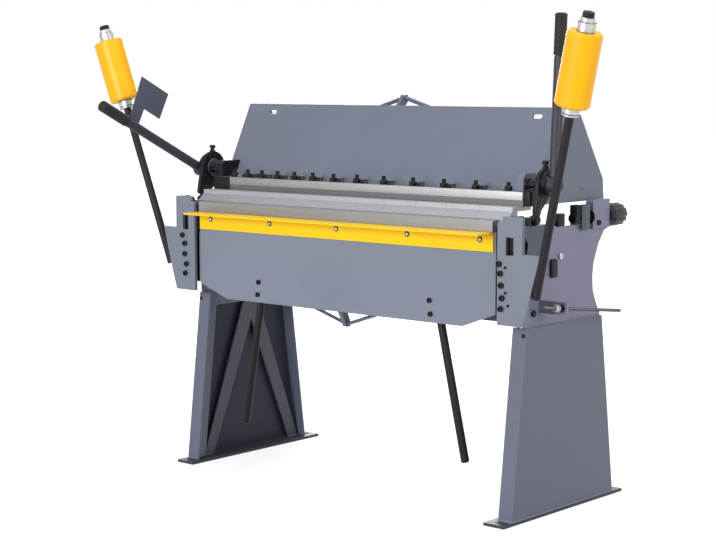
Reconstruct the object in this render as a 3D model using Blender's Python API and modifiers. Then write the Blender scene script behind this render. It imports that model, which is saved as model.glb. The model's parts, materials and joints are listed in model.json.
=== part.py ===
# Box-and-pan sheet metal brake on legs, with a counterweighted bending leaf.
# Units are metres, +Z is up, the operator stands at -Y and +X is at the operator's right.
# Sizes are first worked in a shop frame whose Y starts at the front edge of the foot plates.
# The empty "brake" then moves that frame so that the whole machine is centred on the origin.

import math

import bmesh
import bpy
from mathutils import Matrix, Vector

MM = 0.001
UP = Vector((0, 0, 1))

# Fits shared by the whole machine
GAP = 0.3 * MM
LAP = 1.0 * MM
OVERRUN = 6.0 * MM
PIVOT_CLEARANCE = 0.3 * MM
ROUND_STEPS = 32
ROD_STEPS = 16
ARC_STEPS = 10

# Working line: the top of the bed, where sheet metal bends
WORK_HEIGHT = 850.0 * MM
BEND_Y = 62.0 * MM
FINGER_ROW = 1220.0 * MM
HALF_ROW = FINGER_ROW / 2

# Legs, each a folded channel welded on a foot plate
FOOT_LENGTH = 602.0 * MM
FOOT_WIDTH = 72.0 * MM
FOOT_THICKNESS = 9.0 * MM
FOOT_BEYOND_LEG = 4.0 * MM
FOOT_HOLE_RADIUS = 7.0 * MM
FOOT_HOLE_INSET = 22.0 * MM
LEG_WALL = 6.0 * MM
LEG_DEPTH = 48.0 * MM
LEG_TOP_BELOW_BEND = 302.0 * MM
LEG_TOP = WORK_HEIGHT - LEG_TOP_BELOW_BEND
LEG_FOOT_FRONT = 43.0 * MM
LEG_FOOT_REAR = 555.0 * MM
LEG_TOP_FRONT = 104.0 * MM
LEG_TOP_REAR = 484.0 * MM
BRACE_WALL = 7.0 * MM
BRACE_FOOT_WIDTH = 43.0 * MM
BRACE_FRONT_INSET = 53.0 * MM
BRACE_REAR_INSET = 14.0 * MM
BRACE_APEX_WIDTH = 48.0 * MM
BRACE_APEX_HEIGHT_BELOW_LEG_TOP = 18.0 * MM
BRACE_APEX_HEIGHT = LEG_TOP - BRACE_APEX_HEIGHT_BELOW_LEG_TOP
BRACE_CROTCH_HEIGHT_BELOW_LEG_TOP = 108.0 * MM
BRACE_CROTCH_HEIGHT = LEG_TOP - BRACE_CROTCH_HEIGHT_BELOW_LEG_TOP

# End plates that stand on the legs and carry the bed, the hinges and the beam pivots
PLATE_WALL = 10.0 * MM
PLATE_CLEARANCE = 13.7 * MM
PLATE_TAB_BOTTOM_BELOW_LEG_TOP = 48.0 * MM
PLATE_TAB_BOTTOM = LEG_TOP - PLATE_TAB_BOTTOM_BELOW_LEG_TOP
PLATE_TAB_INSET = 8.0 * MM
PLATE_HEEL_RISE = 2.0 * MM
PLATE_TOP_BELOW_BEND = 28.0 * MM
PLATE_TOP = WORK_HEIGHT - PLATE_TOP_BELOW_BEND
PLATE_FRONT = 70.0 * MM
PLATE_SEAT_BELOW_BEND = 45.0 * MM
PLATE_SEAT = WORK_HEIGHT - PLATE_SEAT_BELOW_BEND
PLATE_SEAT_FRONT = 425.0 * MM
PLATE_SEAT_EDGE = 2.0 * MM
PLATE_REAR = 516.0 * MM
PLATE_WAIST = 440.0 * MM
PLATE_NOSE_BOTTOM_BELOW_BEND = 110.0 * MM
PLATE_NOSE_BOTTOM = WORK_HEIGHT - PLATE_NOSE_BOTTOM_BELOW_BEND
PLATE_THROAT_BELOW_BEND = 210.0 * MM
PLATE_THROAT = WORK_HEIGHT - PLATE_THROAT_BELOW_BEND
# Hollow back of the plate: share of its height, share from the waist out to the rear edge
PLATE_BACK_SHARES = ((0.164, 0.244), (0.301, 0.044), (0.458, 0.0), (0.623, 0.078),
                     (0.831, 0.389), (0.976, 0.767), (1.0, 1.0))
LUG_FRONT = 345.0 * MM
LUG_DEPTH = 28.0 * MM
LUG_WIDTH = 24.0 * MM
LUG_TOP_ABOVE_BEND = 15.0 * MM
LUG_TOP = WORK_HEIGHT + LUG_TOP_ABOVE_BEND

# Bed: a folded channel with a hard bar on top
BED_WALL = 8.0 * MM
BED_WEB_FRONT = 100.0 * MM
BED_BOTTOM_BELOW_BEND = 290.0 * MM
BED_BOTTOM = WORK_HEIGHT - BED_BOTTOM_BELOW_BEND
BED_FOOT_REAR = 200.0 * MM
BED_SHELF_WALL = 11.7 * MM
BED_SHELF_REAR = 166.0 * MM
BED_BAR_HEIGHT = 15.0 * MM
BED_BAR_REAR = 150.0 * MM

# Hinge block on the outside of each end plate, with the leaf's hinge eye and the clamp's lower pin
HINGE_PIN_RADIUS = 8.0 * MM
HINGE_EYE_RADIUS = 15.0 * MM
HINGE_EYE_WALL = 14.0 * MM
HINGE_BLOCK_WALL = 20.0 * MM
HINGE_BLOCK_FRONT = 82.0 * MM
HINGE_SHOULDER = 92.0 * MM
HINGE_BLOCK_REAR = 190.0 * MM
HINGE_BLOCK_BOTTOM_BELOW_BEND = 98.0 * MM
HINGE_BLOCK_BOTTOM = WORK_HEIGHT - HINGE_BLOCK_BOTTOM_BELOW_BEND
HINGE_BLOCK_TOP_BELOW_BEND = 15.6 * MM
HINGE_BLOCK_TOP = WORK_HEIGHT - HINGE_BLOCK_TOP_BELOW_BEND
HINGE_ARM_BOTTOM_BELOW_BEND = 60.0 * MM
HINGE_ARM_BOTTOM = WORK_HEIGHT - HINGE_ARM_BOTTOM_BELOW_BEND
HINGE_ARM_REAR = 120.0 * MM
HINGE_HEAD_RADIUS = 12.0 * MM
HINGE_HEAD_WALL = 5.6 * MM
LINK_PIN_Y = 126.0 * MM
LINK_PIN_BELOW_BEND = 1.0 * MM
LINK_PIN_Z = WORK_HEIGHT - LINK_PIN_BELOW_BEND
LINK_PIN_RADIUS = 7.0 * MM
LINK_PIN_HEAD_RADIUS = 11.0 * MM
LINK_EYE_RADIUS = 13.5 * MM
LINK_EAR_WALL = 7.7 * MM

# Leaf that swings up and bends the sheet
LEAF_FRONT = 45.0 * MM
LEAF_WALL = 8.0 * MM
LEAF_BOTTOM_BELOW_BEND = 305.0 * MM
LEAF_BOTTOM = WORK_HEIGHT - LEAF_BOTTOM_BELOW_BEND
LEAF_CORNER_RISE = 43.0 * MM
LEAF_CORNER_RUN = 117.0 * MM
FOLDING_BAR_HEIGHT = 32.7 * MM
FOLDING_BAR_DEPTH = 26.7 * MM
ANGLE_WALL = 6.0 * MM
ANGLE_HEIGHT = 55.0 * MM
ANGLE_DEPTH = 77.7 * MM

# End brackets of the leaf
BRACKET_WALL = 12.0 * MM
BRACKET_INSIDE_ROW = 11.0 * MM
LEAF_TO_BRACKET = 14.0 * MM
LEAF_BEYOND_BAR = 5.0 * MM
BRACKET_BEYOND_LUG = 6.1 * MM
BRACKET_BOTTOM_BELOW_BEND = 288.0 * MM
BRACKET_BOTTOM = WORK_HEIGHT - BRACKET_BOTTOM_BELOW_BEND
BRACKET_ABOVE_BEND = 13.0 * MM
BRACKET_NOTCH = 17.0 * MM
BRACKET_NOTCH_BELOW_BEND = 4.0 * MM
EAR_BOTTOM_BELOW_BEND = 205.0 * MM
EAR_BOTTOM = WORK_HEIGHT - EAR_BOTTOM_BELOW_BEND
EAR_TOP_BELOW_BEND = 88.0 * MM
EAR_TOP = WORK_HEIGHT - EAR_TOP_BELOW_BEND
SLOT_INNER = 627.0 * MM
SLOT_WIDTH = 26.0 * MM
SLOT_BOTTOM_BELOW_BEND = 93.0 * MM
SLOT_BOTTOM = WORK_HEIGHT - SLOT_BOTTOM_BELOW_BEND
SLOT_HEIGHT = 49.0 * MM
JOINT_PLATE_WALL = 8.0 * MM
JOINT_PLATE_INNER = 545.0 * MM
JOINT_PLATE_OUTER = 648.0 * MM
JOINT_PLATE_BOTTOM_BELOW_BEND = 260.0 * MM
JOINT_PLATE_BOTTOM = WORK_HEIGHT - JOINT_PLATE_BOTTOM_BELOW_BEND
JOINT_PLATE_TOP_BELOW_BEND = 100.0 * MM
JOINT_PLATE_TOP = WORK_HEIGHT - JOINT_PLATE_TOP_BELOW_BEND
SPACER_INNER = 618.0 * MM
HINGE_LUG_WALL = 12.6 * MM

# Counterweights on splayed rods
ROD_BEYOND_BRACKET = 38.0 * MM
ROD_FOOT_Y = 46.0 * MM
ROD_FOOT_BELOW_BEND = 208.0 * MM
ROD_FOOT_Z = WORK_HEIGHT - ROD_FOOT_BELOW_BEND
ROD_SPLAY = 0.2806
ROD_LEAN = -0.1129
ROD_RADIUS = 12.0 * MM
ROD_LENGTH = 800.0 * MM
WEIGHT_START = 548.3 * MM
WEIGHT_LENGTH = 199.7 * MM
WEIGHT_RADIUS = 47.5 * MM
WEIGHT_CHAMFER = 5.0 * MM
COLLAR_RADIUS = 24.0 * MM
COLLAR_LENGTH = 26.0 * MM
LOWER_NUT_RADIUS = 23.0 * MM
STUD_NUT_RADIUS = 14.0 * MM
STUD_NUT_LENGTH = 16.0 * MM

# Pull bars under the leaf and the truss that keeps the leaf straight
HANDLE_RADIUS = 12.0 * MM
HANDLE_TOP_X = {"left": 321.0 * MM, "right": 361.0 * MM}
HANDLE_TOP_BELOW_BEND = 225.0 * MM
HANDLE_TOP = WORK_HEIGHT - HANDLE_TOP_BELOW_BEND
HANDLE_FOOT_X = {"left": 406.0 * MM, "right": 470.0 * MM}
HANDLE_FOOT_BELOW_BEND = 700.0 * MM
HANDLE_FOOT = WORK_HEIGHT - HANDLE_FOOT_BELOW_BEND
LEAF_TRUSS_DROP = 95.0 * MM
LEAF_TRUSS_APEX_Y = 90.0 * MM
LEAF_TRUSS_APEX_BELOW_BEND = 347.0 * MM
LEAF_TRUSS_APEX_Z = WORK_HEIGHT - LEAF_TRUSS_APEX_BELOW_BEND
LEAF_TRUSS_HALF = 292.0 * MM
LEAF_TRUSS_RADIUS = 6.0 * MM
LEAF_TRUSS_BLOCK = 26.0 * MM
LEAF_TRUSS_BLOCK_HEIGHT = 20.0 * MM
LEAF_TRUSS_ROD_OFFSET = 20.7 * MM
LEAF_TRUSS_POST = 16.0 * MM
LEAF_TRUSS_POST_TOP_BELOW_BEND = 275.0 * MM
LEAF_TRUSS_POST_TOP = WORK_HEIGHT - LEAF_TRUSS_POST_TOP_BELOW_BEND

# Stop rod that the right counterweight's rod comes to rest against
STOP_X = 720.0 * MM
STOP_FRONT_Y = 81.0 * MM
STOP_FRONT_BELOW_BEND = 235.0 * MM
STOP_FRONT_Z = WORK_HEIGHT - STOP_FRONT_BELOW_BEND
STOP_REAR_Y = 471.0 * MM
STOP_REAR_BELOW_BEND = 281.0 * MM
STOP_REAR_Z = WORK_HEIGHT - STOP_REAR_BELOW_BEND
STOP_RADIUS = 5.0 * MM
STOP_HOLE_RADIUS = 6.2 * MM
STOP_LUG_Y = 175.0 * MM
STOP_LUG_WALL = 10.0 * MM
STOP_LUG_HEIGHT = 36.0 * MM
STOP_NUT_RADIUS = 10.0 * MM
STOP_NUT_LENGTH = 15.5 * MM
STOP_NUT_STANDOFF = 1.5 * MM

# Rear pivot blocks, which slide to set how far the fingers stand behind the bend
PIVOT_Y = 474.0 * MM
PIVOT_BELOW_BEND = 32.0 * MM
PIVOT_Z = WORK_HEIGHT - PIVOT_BELOW_BEND
PIVOT_RADIUS = 8.0 * MM
PIVOT_HEAD_RADIUS = 13.0 * MM
PIVOT_HEAD_WALL = 8.6 * MM
PIVOT_PIN_DEPTH = 4.0 * MM
PIVOT_BLOCK_WIDTH = 26.0 * MM
PIVOT_BLOCK_TOP_ABOVE_BEND = 39.0 * MM
PIVOT_BLOCK_TOP = WORK_HEIGHT + PIVOT_BLOCK_TOP_ABOVE_BEND
PIVOT_BLOCK_FRONT = 427.0 * MM
PIVOT_BLOCK_REAR = 514.0 * MM
PIVOT_BLOCK_CHAMFER = 6.0 * MM
SETBACK_SCREW_BELOW_BEND = 10.0 * MM
SETBACK_SCREW_Z = WORK_HEIGHT - SETBACK_SCREW_BELOW_BEND
SETBACK_SCREW_RADIUS = 7.7 * MM
SETBACK_BORE_RADIUS = 8.2 * MM
SETBACK_COLLAR_RADIUS = 14.0 * MM
SETBACK_COLLAR_LENGTH = 6.6 * MM
KNOB_RADIUS = 34.0 * MM
KNOB_LENGTH = 69.7 * MM
KNOB_EDGE = 5.0 * MM
KNOB_STEM_RADIUS = 10.0 * MM
KNOB_STEM_LENGTH = 32.0 * MM

# Upper beam: a folded face and sole between two end plates
BEAM_WALL = 8.0 * MM
BEAM_END_WALL = 10.0 * MM
BEAM_BOTTOM_ABOVE_BEND = 35.0 * MM
BEAM_BOTTOM = WORK_HEIGHT + BEAM_BOTTOM_ABOVE_BEND
BEAM_TOP_ABOVE_SOLE = 271.0 * MM
BEAM_TOP = BEAM_BOTTOM + BEAM_TOP_ABOVE_SOLE
BEAM_FACE_FOOT = 182.4 * MM
BEAM_FACE_LEAN = 0.4819
BEAM_TOP_REAR_Y = 404.0 * MM
BEAM_TOP_REAR_ABOVE_SOLE = 249.0 * MM
BEAM_TOP_REAR_Z = BEAM_BOTTOM + BEAM_TOP_REAR_ABOVE_SOLE
BEAM_BACK_Y = 530.0 * MM
BEAM_BACK_LEAN = 5.0 * MM
BEAM_BACK_DROP = 2.0 * MM
BEAM_BACK_ABOVE_SOLE = 61.0 * MM
BEAM_BACK_Z = BEAM_BOTTOM + BEAM_BACK_ABOVE_SOLE
BEAM_EAR_RADIUS = 20.0 * MM
LIFT_SLOT_X = {"left": 506.0 * MM, "right": 540.0 * MM}
LIFT_SLOT_ABOVE_SOLE = 245.0 * MM
LIFT_SLOT_Z = BEAM_BOTTOM + LIFT_SLOT_ABOVE_SOLE
LIFT_SLOT_LENGTH = 34.0 * MM
LIFT_SLOT_RADIUS = 6.0 * MM
BEAM_TRUSS_Y = 360.0 * MM
BEAM_TRUSS_APEX_ABOVE_SOLE = 295.0 * MM
BEAM_TRUSS_APEX = BEAM_BOTTOM + BEAM_TRUSS_APEX_ABOVE_SOLE
BEAM_TRUSS_SLOPE = 0.3
BEAM_TRUSS_RADIUS = 7.0 * MM
BEAM_TRUSS_POST = 20.0 * MM
BEAM_TRUSS_POST_WALL = 12.0 * MM
BEAM_TRUSS_POST_BOTTOM_ABOVE_SOLE = 235.0 * MM
BEAM_TRUSS_POST_BOTTOM = BEAM_BOTTOM + BEAM_TRUSS_POST_BOTTOM_ABOVE_SOLE
BEAM_TRUSS_POST_SEAT = 30.0 * MM
BEAM_TRUSS_END_WALL = 10.0 * MM
BEAM_TRUSS_END_RADIUS = 13.0 * MM

# Fingers and the bar that clamps them
FINGER_WIDTH_SHARES = (55, 55, 60, 65, 70, 75, 80, 90, 100, 110, 115, 115, 115, 115)
FINGER_SIDE_GAP = 0.6 * MM
FINGER_NOSE_GAP = 0.6 * MM
FINGER_BEVEL_DEPTH = 23.4 * MM
FINGER_BEVEL_RISE = 21.4 * MM
FINGER_BROW = 2.0 * MM
FINGER_TOE = 50.0 * MM
FINGER_TONGUE_WALL = 12.4 * MM
FINGER_TONGUE_REAR = 176.0 * MM
CLAMP_FRONT = 135.0 * MM
CLAMP_BAR_HEIGHT = 40.3 * MM
CLAMP_END_LENGTH = 18.0 * MM
BOLT_Y = 147.0 * MM
BOLT_RADIUS = 6.0 * MM
BOLT_HEIGHT = 25.0 * MM
BOLT_NUT_RADIUS = 9.5 * MM
BOLT_NUT_HEIGHT = 12.0 * MM
WASHER_OFFSET = 18.0 * MM
WASHER_LENGTH = 20.0 * MM
WASHER_DEPTH = 15.0 * MM
WASHER_HEIGHT = 9.0 * MM

# Cams that lift the beam, one at each end, with their levers
CAM_Y = 160.0 * MM
CAM_ABOVE_CLAMP = 21.0 * MM
CAM_THROW = 15.6 * MM
CAM_START_BEHIND = math.radians(52.5)
CAM_RADIUS = 28.0 * MM
CAM_SHAFT_RADIUS = 11.0 * MM
CAM_SHAFT_END = 716.0 * MM
CAM_COLLAR_RADIUS = 16.0 * MM
CAM_COLLAR_WALL = 9.7 * MM
CAM_SHAFT_NUT_RADIUS = 15.0 * MM
CAM_SHAFT_NUT_WALL = 8.0 * MM
BEARING_INNER = 580.0 * MM
BEARING_OUTER = 606.0 * MM
BEARING_FRONT = 143.0 * MM
BEARING_HEIGHT = 50.0 * MM
BEARING_CHAMFER = 11.0 * MM
BEARING_FLOOR = 2.0 * MM
STRAP_INNER = 652.3 * MM
STRAP_WALL = 11.4 * MM
STRAP_RADIUS = 40.0 * MM
STRAP_CLEARANCE = 3.2 * MM
STRAP_SHANK = 22.0 * MM
LEVER_PLANE = 698.0 * MM
LEVER_HUB_WALL = 24.0 * MM
LEVER_HUB_RADIUS = 24.0 * MM
LEVER_RADIUS = 13.0 * MM
LEVER_LENGTH = 468.0 * MM
GRIP_RADIUS = 17.5 * MM
GRIP_LENGTH = 116.0 * MM
GRIP_CAP = 4.0 * MM
LEVER_LEFT_ANGLE = math.radians(26.5)
LEVER_RIGHT_ANGLE = math.radians(92.9)
FLAG_WALL = 3.0 * MM
FLAG_NEAR = 235.0 * MM
FLAG_STEM_NEAR = 308.0 * MM
FLAG_STEM_FAR = 350.0 * MM
FLAG_FAR = 360.0 * MM
FLAG_BOTTOM = 66.0 * MM
FLAG_TOP = 154.0 * MM

# Sizes that follow from the ones above
BEAM_HALF = HALF_ROW - GAP
BEAM_END_OUTER = HALF_ROW + BEAM_END_WALL
PLATE_INNER = BEAM_END_OUTER + PLATE_CLEARANCE
PLATE_OUTER = PLATE_INNER + PLATE_WALL
WEB_INNER = PLATE_OUTER + GAP
LEG_OUTER = WEB_INNER + LEG_WALL
LEG_MOUTH = LEG_OUTER - LEG_DEPTH
FOOT_OUTER = LEG_OUTER + FOOT_BEYOND_LEG
FOOT_INNER = FOOT_OUTER - FOOT_WIDTH
BRACE_OUTER = PLATE_INNER - GAP
HINGE_BLOCK_OUTER = WEB_INNER + HINGE_BLOCK_WALL
HINGE_EYE_INNER = HINGE_BLOCK_OUTER - HINGE_EYE_WALL
BRACKET_INNER = HALF_ROW - BRACKET_INSIDE_ROW
LEAF_HALF_WIDTH = BRACKET_INNER - LEAF_TO_BRACKET
FOLDING_BAR_HALF = LEAF_HALF_WIDTH - LEAF_BEYOND_BAR
ANGLE_HALF = FOLDING_BAR_HALF
BRACKET_OUTER = HINGE_BLOCK_OUTER + GAP + HINGE_LUG_WALL + BRACKET_BEYOND_LUG
BRACKET_FRONT = LEAF_FRONT - BRACKET_WALL
CLAMP_BOTTOM = BEAM_BOTTOM - GAP
CLAMP_TOP = CLAMP_BOTTOM + CLAMP_BAR_HEIGHT
CAM_Z = CLAMP_TOP + CAM_ABOVE_CLAMP
BEARING_TOP = CLAMP_TOP + BEARING_HEIGHT
LEAF_REAR = LEAF_FRONT + LEAF_WALL
FOLDING_BAR_REAR = BEND_Y - GAP
FOLDING_BAR_BOTTOM = WORK_HEIGHT - GAP - FOLDING_BAR_HEIGHT
LEAF_TOP = FOLDING_BAR_BOTTOM - GAP
ANGLE_REAR = LEAF_FRONT - GAP
BED_BAR_BOTTOM = WORK_HEIGHT - BED_BAR_HEIGHT
BED_SHELF_TOP = BED_BAR_BOTTOM - GAP
JOINT_PLATE_FRONT = LEAF_REAR + GAP
CLAMP_BAR_HALF = HALF_ROW
PIVOT_BLOCK_OUTER = PLATE_OUTER + (PIVOT_BLOCK_WIDTH - PLATE_WALL) / 2
PIVOT_BLOCK_INNER = PIVOT_BLOCK_OUTER - PIVOT_BLOCK_WIDTH
SETBACK_SCREW_X = (PIVOT_BLOCK_OUTER + PIVOT_BLOCK_INNER) / 2
LUG_REAR = LUG_FRONT + LUG_DEPTH
SETBACK_SCREW_FRONT = LUG_FRONT - GAP - SETBACK_COLLAR_LENGTH
KNOB_FRONT = PLATE_REAR + GAP
KNOB_REAR = KNOB_FRONT + KNOB_LENGTH
REAR_REACH = KNOB_REAR + KNOB_STEM_LENGTH
LEVER_REACH = LEVER_LENGTH + GRIP_CAP
FRONT_REACH = (CAM_Y - LEVER_REACH * math.cos(LEVER_LEFT_ANGLE)
               - (GRIP_RADIUS - GRIP_CAP) * math.sin(LEVER_LEFT_ANGLE))
CENTRE_Y = (FRONT_REACH + REAR_REACH) / 2
CAM_START = math.atan2(CAM_Z - LINK_PIN_Z, CAM_Y - LINK_PIN_Y) - CAM_START_BEHIND
CAM_CENTRE_Y = CAM_Y + CAM_THROW * math.cos(CAM_START)
CAM_CENTRE_Z = CAM_Z + CAM_THROW * math.sin(CAM_START)
ROD_FOOT = Vector((BRACKET_OUTER + ROD_BEYOND_BRACKET, ROD_FOOT_Y, ROD_FOOT_Z))
ROD_DIRECTION = Vector((ROD_SPLAY, ROD_LEAN, 1)).normalized()

# Colours, roughness and metallic value of each finish
FINISHES = {
    "grey_paint": ((0.21, 0.24, 0.30), 0.45, 0.0),
    "light_paint": ((0.33, 0.35, 0.39), 0.45, 0.0),
    "yellow_paint": ((0.97, 0.48, 0.01), 0.35, 0.0),
    "ground_steel": ((0.60, 0.60, 0.59), 0.30, 1.0),
    "dark_steel": ((0.07, 0.065, 0.07), 0.45, 0.6),
    "bright_zinc": ((0.62, 0.62, 0.60), 0.25, 1.0),
    "black_rubber": ((0.02, 0.02, 0.021), 0.6, 0.0),
}


def clear_scene():
    """Start from an empty file without closing it."""
    for thing in list(bpy.data.objects):
        bpy.data.objects.remove(thing, do_unlink=True)


def make_collection(name):
    collection = bpy.data.collections.new(name)
    bpy.context.scene.collection.children.link(collection)
    return collection


clear_scene()
PARTS = make_collection("sheet_metal_brake")
CUTTERS = make_collection("cutters")


def add_empty(name, place, parent=None):
    empty = bpy.data.objects.new(name, None)
    empty.location = place
    empty.parent = parent
    PARTS.objects.link(empty)
    return empty


BRAKE = add_empty("brake", (0, -CENTRE_Y, 0))


def finish_of(name):
    """Principled material for one finish, made once."""
    material = bpy.data.materials.get(name)
    if material is None:
        colour, roughness, metallic = FINISHES[name]
        material = bpy.data.materials.new(name)
        material.use_nodes = True
        shader = material.node_tree.nodes["Principled BSDF"]
        shader.inputs["Base Color"].default_value = (*colour, 1)
        shader.inputs["Roughness"].default_value = roughness
        shader.inputs["Metallic"].default_value = metallic
        material.diffuse_color = (*colour, 1)
    return material


def link_mesh(name, mesh, place):
    """New part from a mesh and the matrix that places it in the shop frame."""
    part = bpy.data.objects.new(name, mesh)
    part.parent = BRAKE
    part.matrix_local = place
    PARTS.objects.link(part)
    return part


def made_mesh(shape):
    """Turn a curve or a modified object into a plain mesh object with welded caps."""
    bpy.context.view_layer.update()
    evaluated = shape.evaluated_get(bpy.context.evaluated_depsgraph_get())
    mesh = bpy.data.meshes.new_from_object(evaluated)
    work = bmesh.new()
    work.from_mesh(mesh)
    bmesh.ops.remove_doubles(work, verts=work.verts, dist=GAP / 30)
    bmesh.ops.recalc_face_normals(work, faces=work.faces)
    work.to_mesh(mesh)
    work.free()
    name = shape.name
    place = shape.matrix_local.copy()
    bpy.data.objects.remove(shape, do_unlink=True)
    return link_mesh(name, mesh, place)


def box(name, low, high):
    """Box between two corners of the shop frame."""
    low, high = Vector(low), Vector(high)
    size = high - low
    work = bmesh.new()
    bmesh.ops.create_cube(work, size=1, matrix=Matrix.Diagonal((*size, 1)))
    mesh = bpy.data.meshes.new(name)
    work.to_mesh(mesh)
    work.free()
    return link_mesh(name, mesh, Matrix.Translation((low + high) / 2))


def along(start, direction):
    """Matrix that puts local +Z on a direction, from a start point."""
    turn = Vector(direction).to_track_quat("Z", "Y").to_matrix().to_4x4()
    return Matrix.Translation(Vector(start)) @ turn


def cylinder(name, start, end, radius, steps=ROUND_STEPS):
    """Solid cylinder from one point to another."""
    start, end = Vector(start), Vector(end)
    length = (end - start).length
    work = bmesh.new()
    bmesh.ops.create_cone(work, cap_ends=True, segments=steps, radius1=radius, radius2=radius,
                          depth=length, matrix=Matrix.Translation((0, 0, length / 2)))
    mesh = bpy.data.meshes.new(name)
    work.to_mesh(mesh)
    work.free()
    mesh.shade_smooth()
    mesh.set_sharp_from_angle(angle=math.radians(40))
    return link_mesh(name, mesh, along(start, end - start))


def turned(name, start, direction, profile, steps=ROUND_STEPS):
    """Turned piece: profile points (radius, distance) run along the axis and close on it."""
    points = [(0, profile[0][1]), *profile, (0, profile[-1][1])]
    mesh = bpy.data.meshes.new(name)
    vertices = [(radius, 0, distance) for radius, distance in reversed(points)]
    edges = [(index, index + 1) for index in range(len(points) - 1)]
    mesh.from_pydata(vertices, edges, [])
    shape = link_mesh(name, mesh, along(start, direction))
    screw = shape.modifiers.new("turn", "SCREW")
    screw.axis = "Z"
    screw.steps = steps
    screw.render_steps = steps
    screw.use_merge_vertices = True
    screw.merge_threshold = GAP / 30
    shape = made_mesh(shape)
    shape.data.shade_smooth()
    shape.data.set_sharp_from_angle(angle=math.radians(40))
    return shape


def flat(name, outline, wall, place):
    """Flat outline in local XY, thickened upwards from local Z 0 by its wall."""
    curve = bpy.data.curves.new(name, "CURVE")
    curve.dimensions = "2D"
    curve.fill_mode = "BOTH"
    curve.extrude = wall / 2
    spline = curve.splines.new("POLY")
    spline.points.add(len(outline) - 1)
    for point, (across, up) in zip(spline.points, outline):
        point.co = (across, up, 0, 1)
    spline.use_cyclic_u = True
    shape = bpy.data.objects.new(name, curve)
    shape.parent = BRAKE
    shape.matrix_local = place @ Matrix.Translation((0, 0, wall / 2))
    PARTS.objects.link(shape)
    return made_mesh(shape)


def side_plate(name, outline, low_x, high_x):
    """Outline of (Y, Z) points, extruded along X."""
    turn = Matrix(((0, 0, 1, low_x), (1, 0, 0, 0), (0, 1, 0, 0), (0, 0, 0, 1)))
    return flat(name, outline, high_x - low_x, turn)


def front_plate(name, outline, front_y, rear_y):
    """Outline of (X, Z) points, extruded along Y."""
    turn = Matrix(((1, 0, 0, 0), (0, 0, -1, rear_y), (0, 1, 0, 0), (0, 0, 0, 1)))
    return flat(name, outline, rear_y - front_y, turn)


def rod(name, points, radius, sides=2):
    """Round bar along straight runs through the given points."""
    curve = bpy.data.curves.new(name, "CURVE")
    curve.dimensions = "3D"
    curve.bevel_depth = radius
    curve.bevel_resolution = sides
    curve.use_fill_caps = True
    spline = curve.splines.new("POLY")
    spline.points.add(len(points) - 1)
    for point, place in zip(spline.points, points):
        point.co = (*place, 1)
    shape = bpy.data.objects.new(name, curve)
    shape.parent = BRAKE
    PARTS.objects.link(shape)
    return made_mesh(shape)


def use_in_boolean(part, operand, operation):
    """Keep the operand as a hidden wire shape and add the Boolean to the part."""
    PARTS.objects.unlink(operand)
    CUTTERS.objects.link(operand)
    operand.hide_render = True
    operand.display_type = "WIRE"
    modifier = part.modifiers.new(operand.name, "BOOLEAN")
    modifier.operation = operation
    modifier.object = operand
    modifier.solver = "EXACT"


def join(part, *others):
    for other in others:
        use_in_boolean(part, other, "UNION")
    return part


def cut(part, *cutters):
    for cutter in cutters:
        use_in_boolean(part, cutter, "DIFFERENCE")
    return part


def painted(part, finish):
    part.data.materials.clear()
    part.data.materials.append(finish_of(finish))
    return part


def carried(part, axis_empty):
    """Hand a part to a moving empty and leave it where it is."""
    part.parent = axis_empty
    part.matrix_parent_inverse = axis_empty.matrix_local.inverted()
    return part


def arc(centre, radius, start, end, steps=ARC_STEPS):
    """Points on an arc, angles in degrees."""
    angles = [math.radians(start + (end - start) * index / steps) for index in range(steps + 1)]
    return [(centre[0] + radius * math.cos(angle), centre[1] + radius * math.sin(angle))
            for angle in angles]


def span(side, inner, outer):
    """Low and high X of a piece that lies between two distances from the middle."""
    return (inner, outer) if side > 0 else (-outer, -inner)


def mirrored(side, outline):
    return [(side * across, up) for across, up in outline]


def across(side, distance, y, z):
    return (side * distance, y, z)


def leg_front(height):
    share = (height - FOOT_THICKNESS) / (LEG_TOP - FOOT_THICKNESS)
    return LEG_FOOT_FRONT + (LEG_TOP_FRONT - LEG_FOOT_FRONT) * share


def leg_rear(height):
    share = (height - FOOT_THICKNESS) / (LEG_TOP - FOOT_THICKNESS)
    return LEG_FOOT_REAR + (LEG_TOP_REAR - LEG_FOOT_REAR) * share


def beam_face(height):
    """Y of the beam's leaning front face at a height."""
    return BEAM_FACE_FOOT + BEAM_FACE_LEAN * (height - BEAM_BOTTOM)


def rod_x(height):
    """X of the counterweight rod's axis at a height, on the right side."""
    return ROD_FOOT.x + ROD_SPLAY * (height - ROD_FOOT.z)


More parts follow.
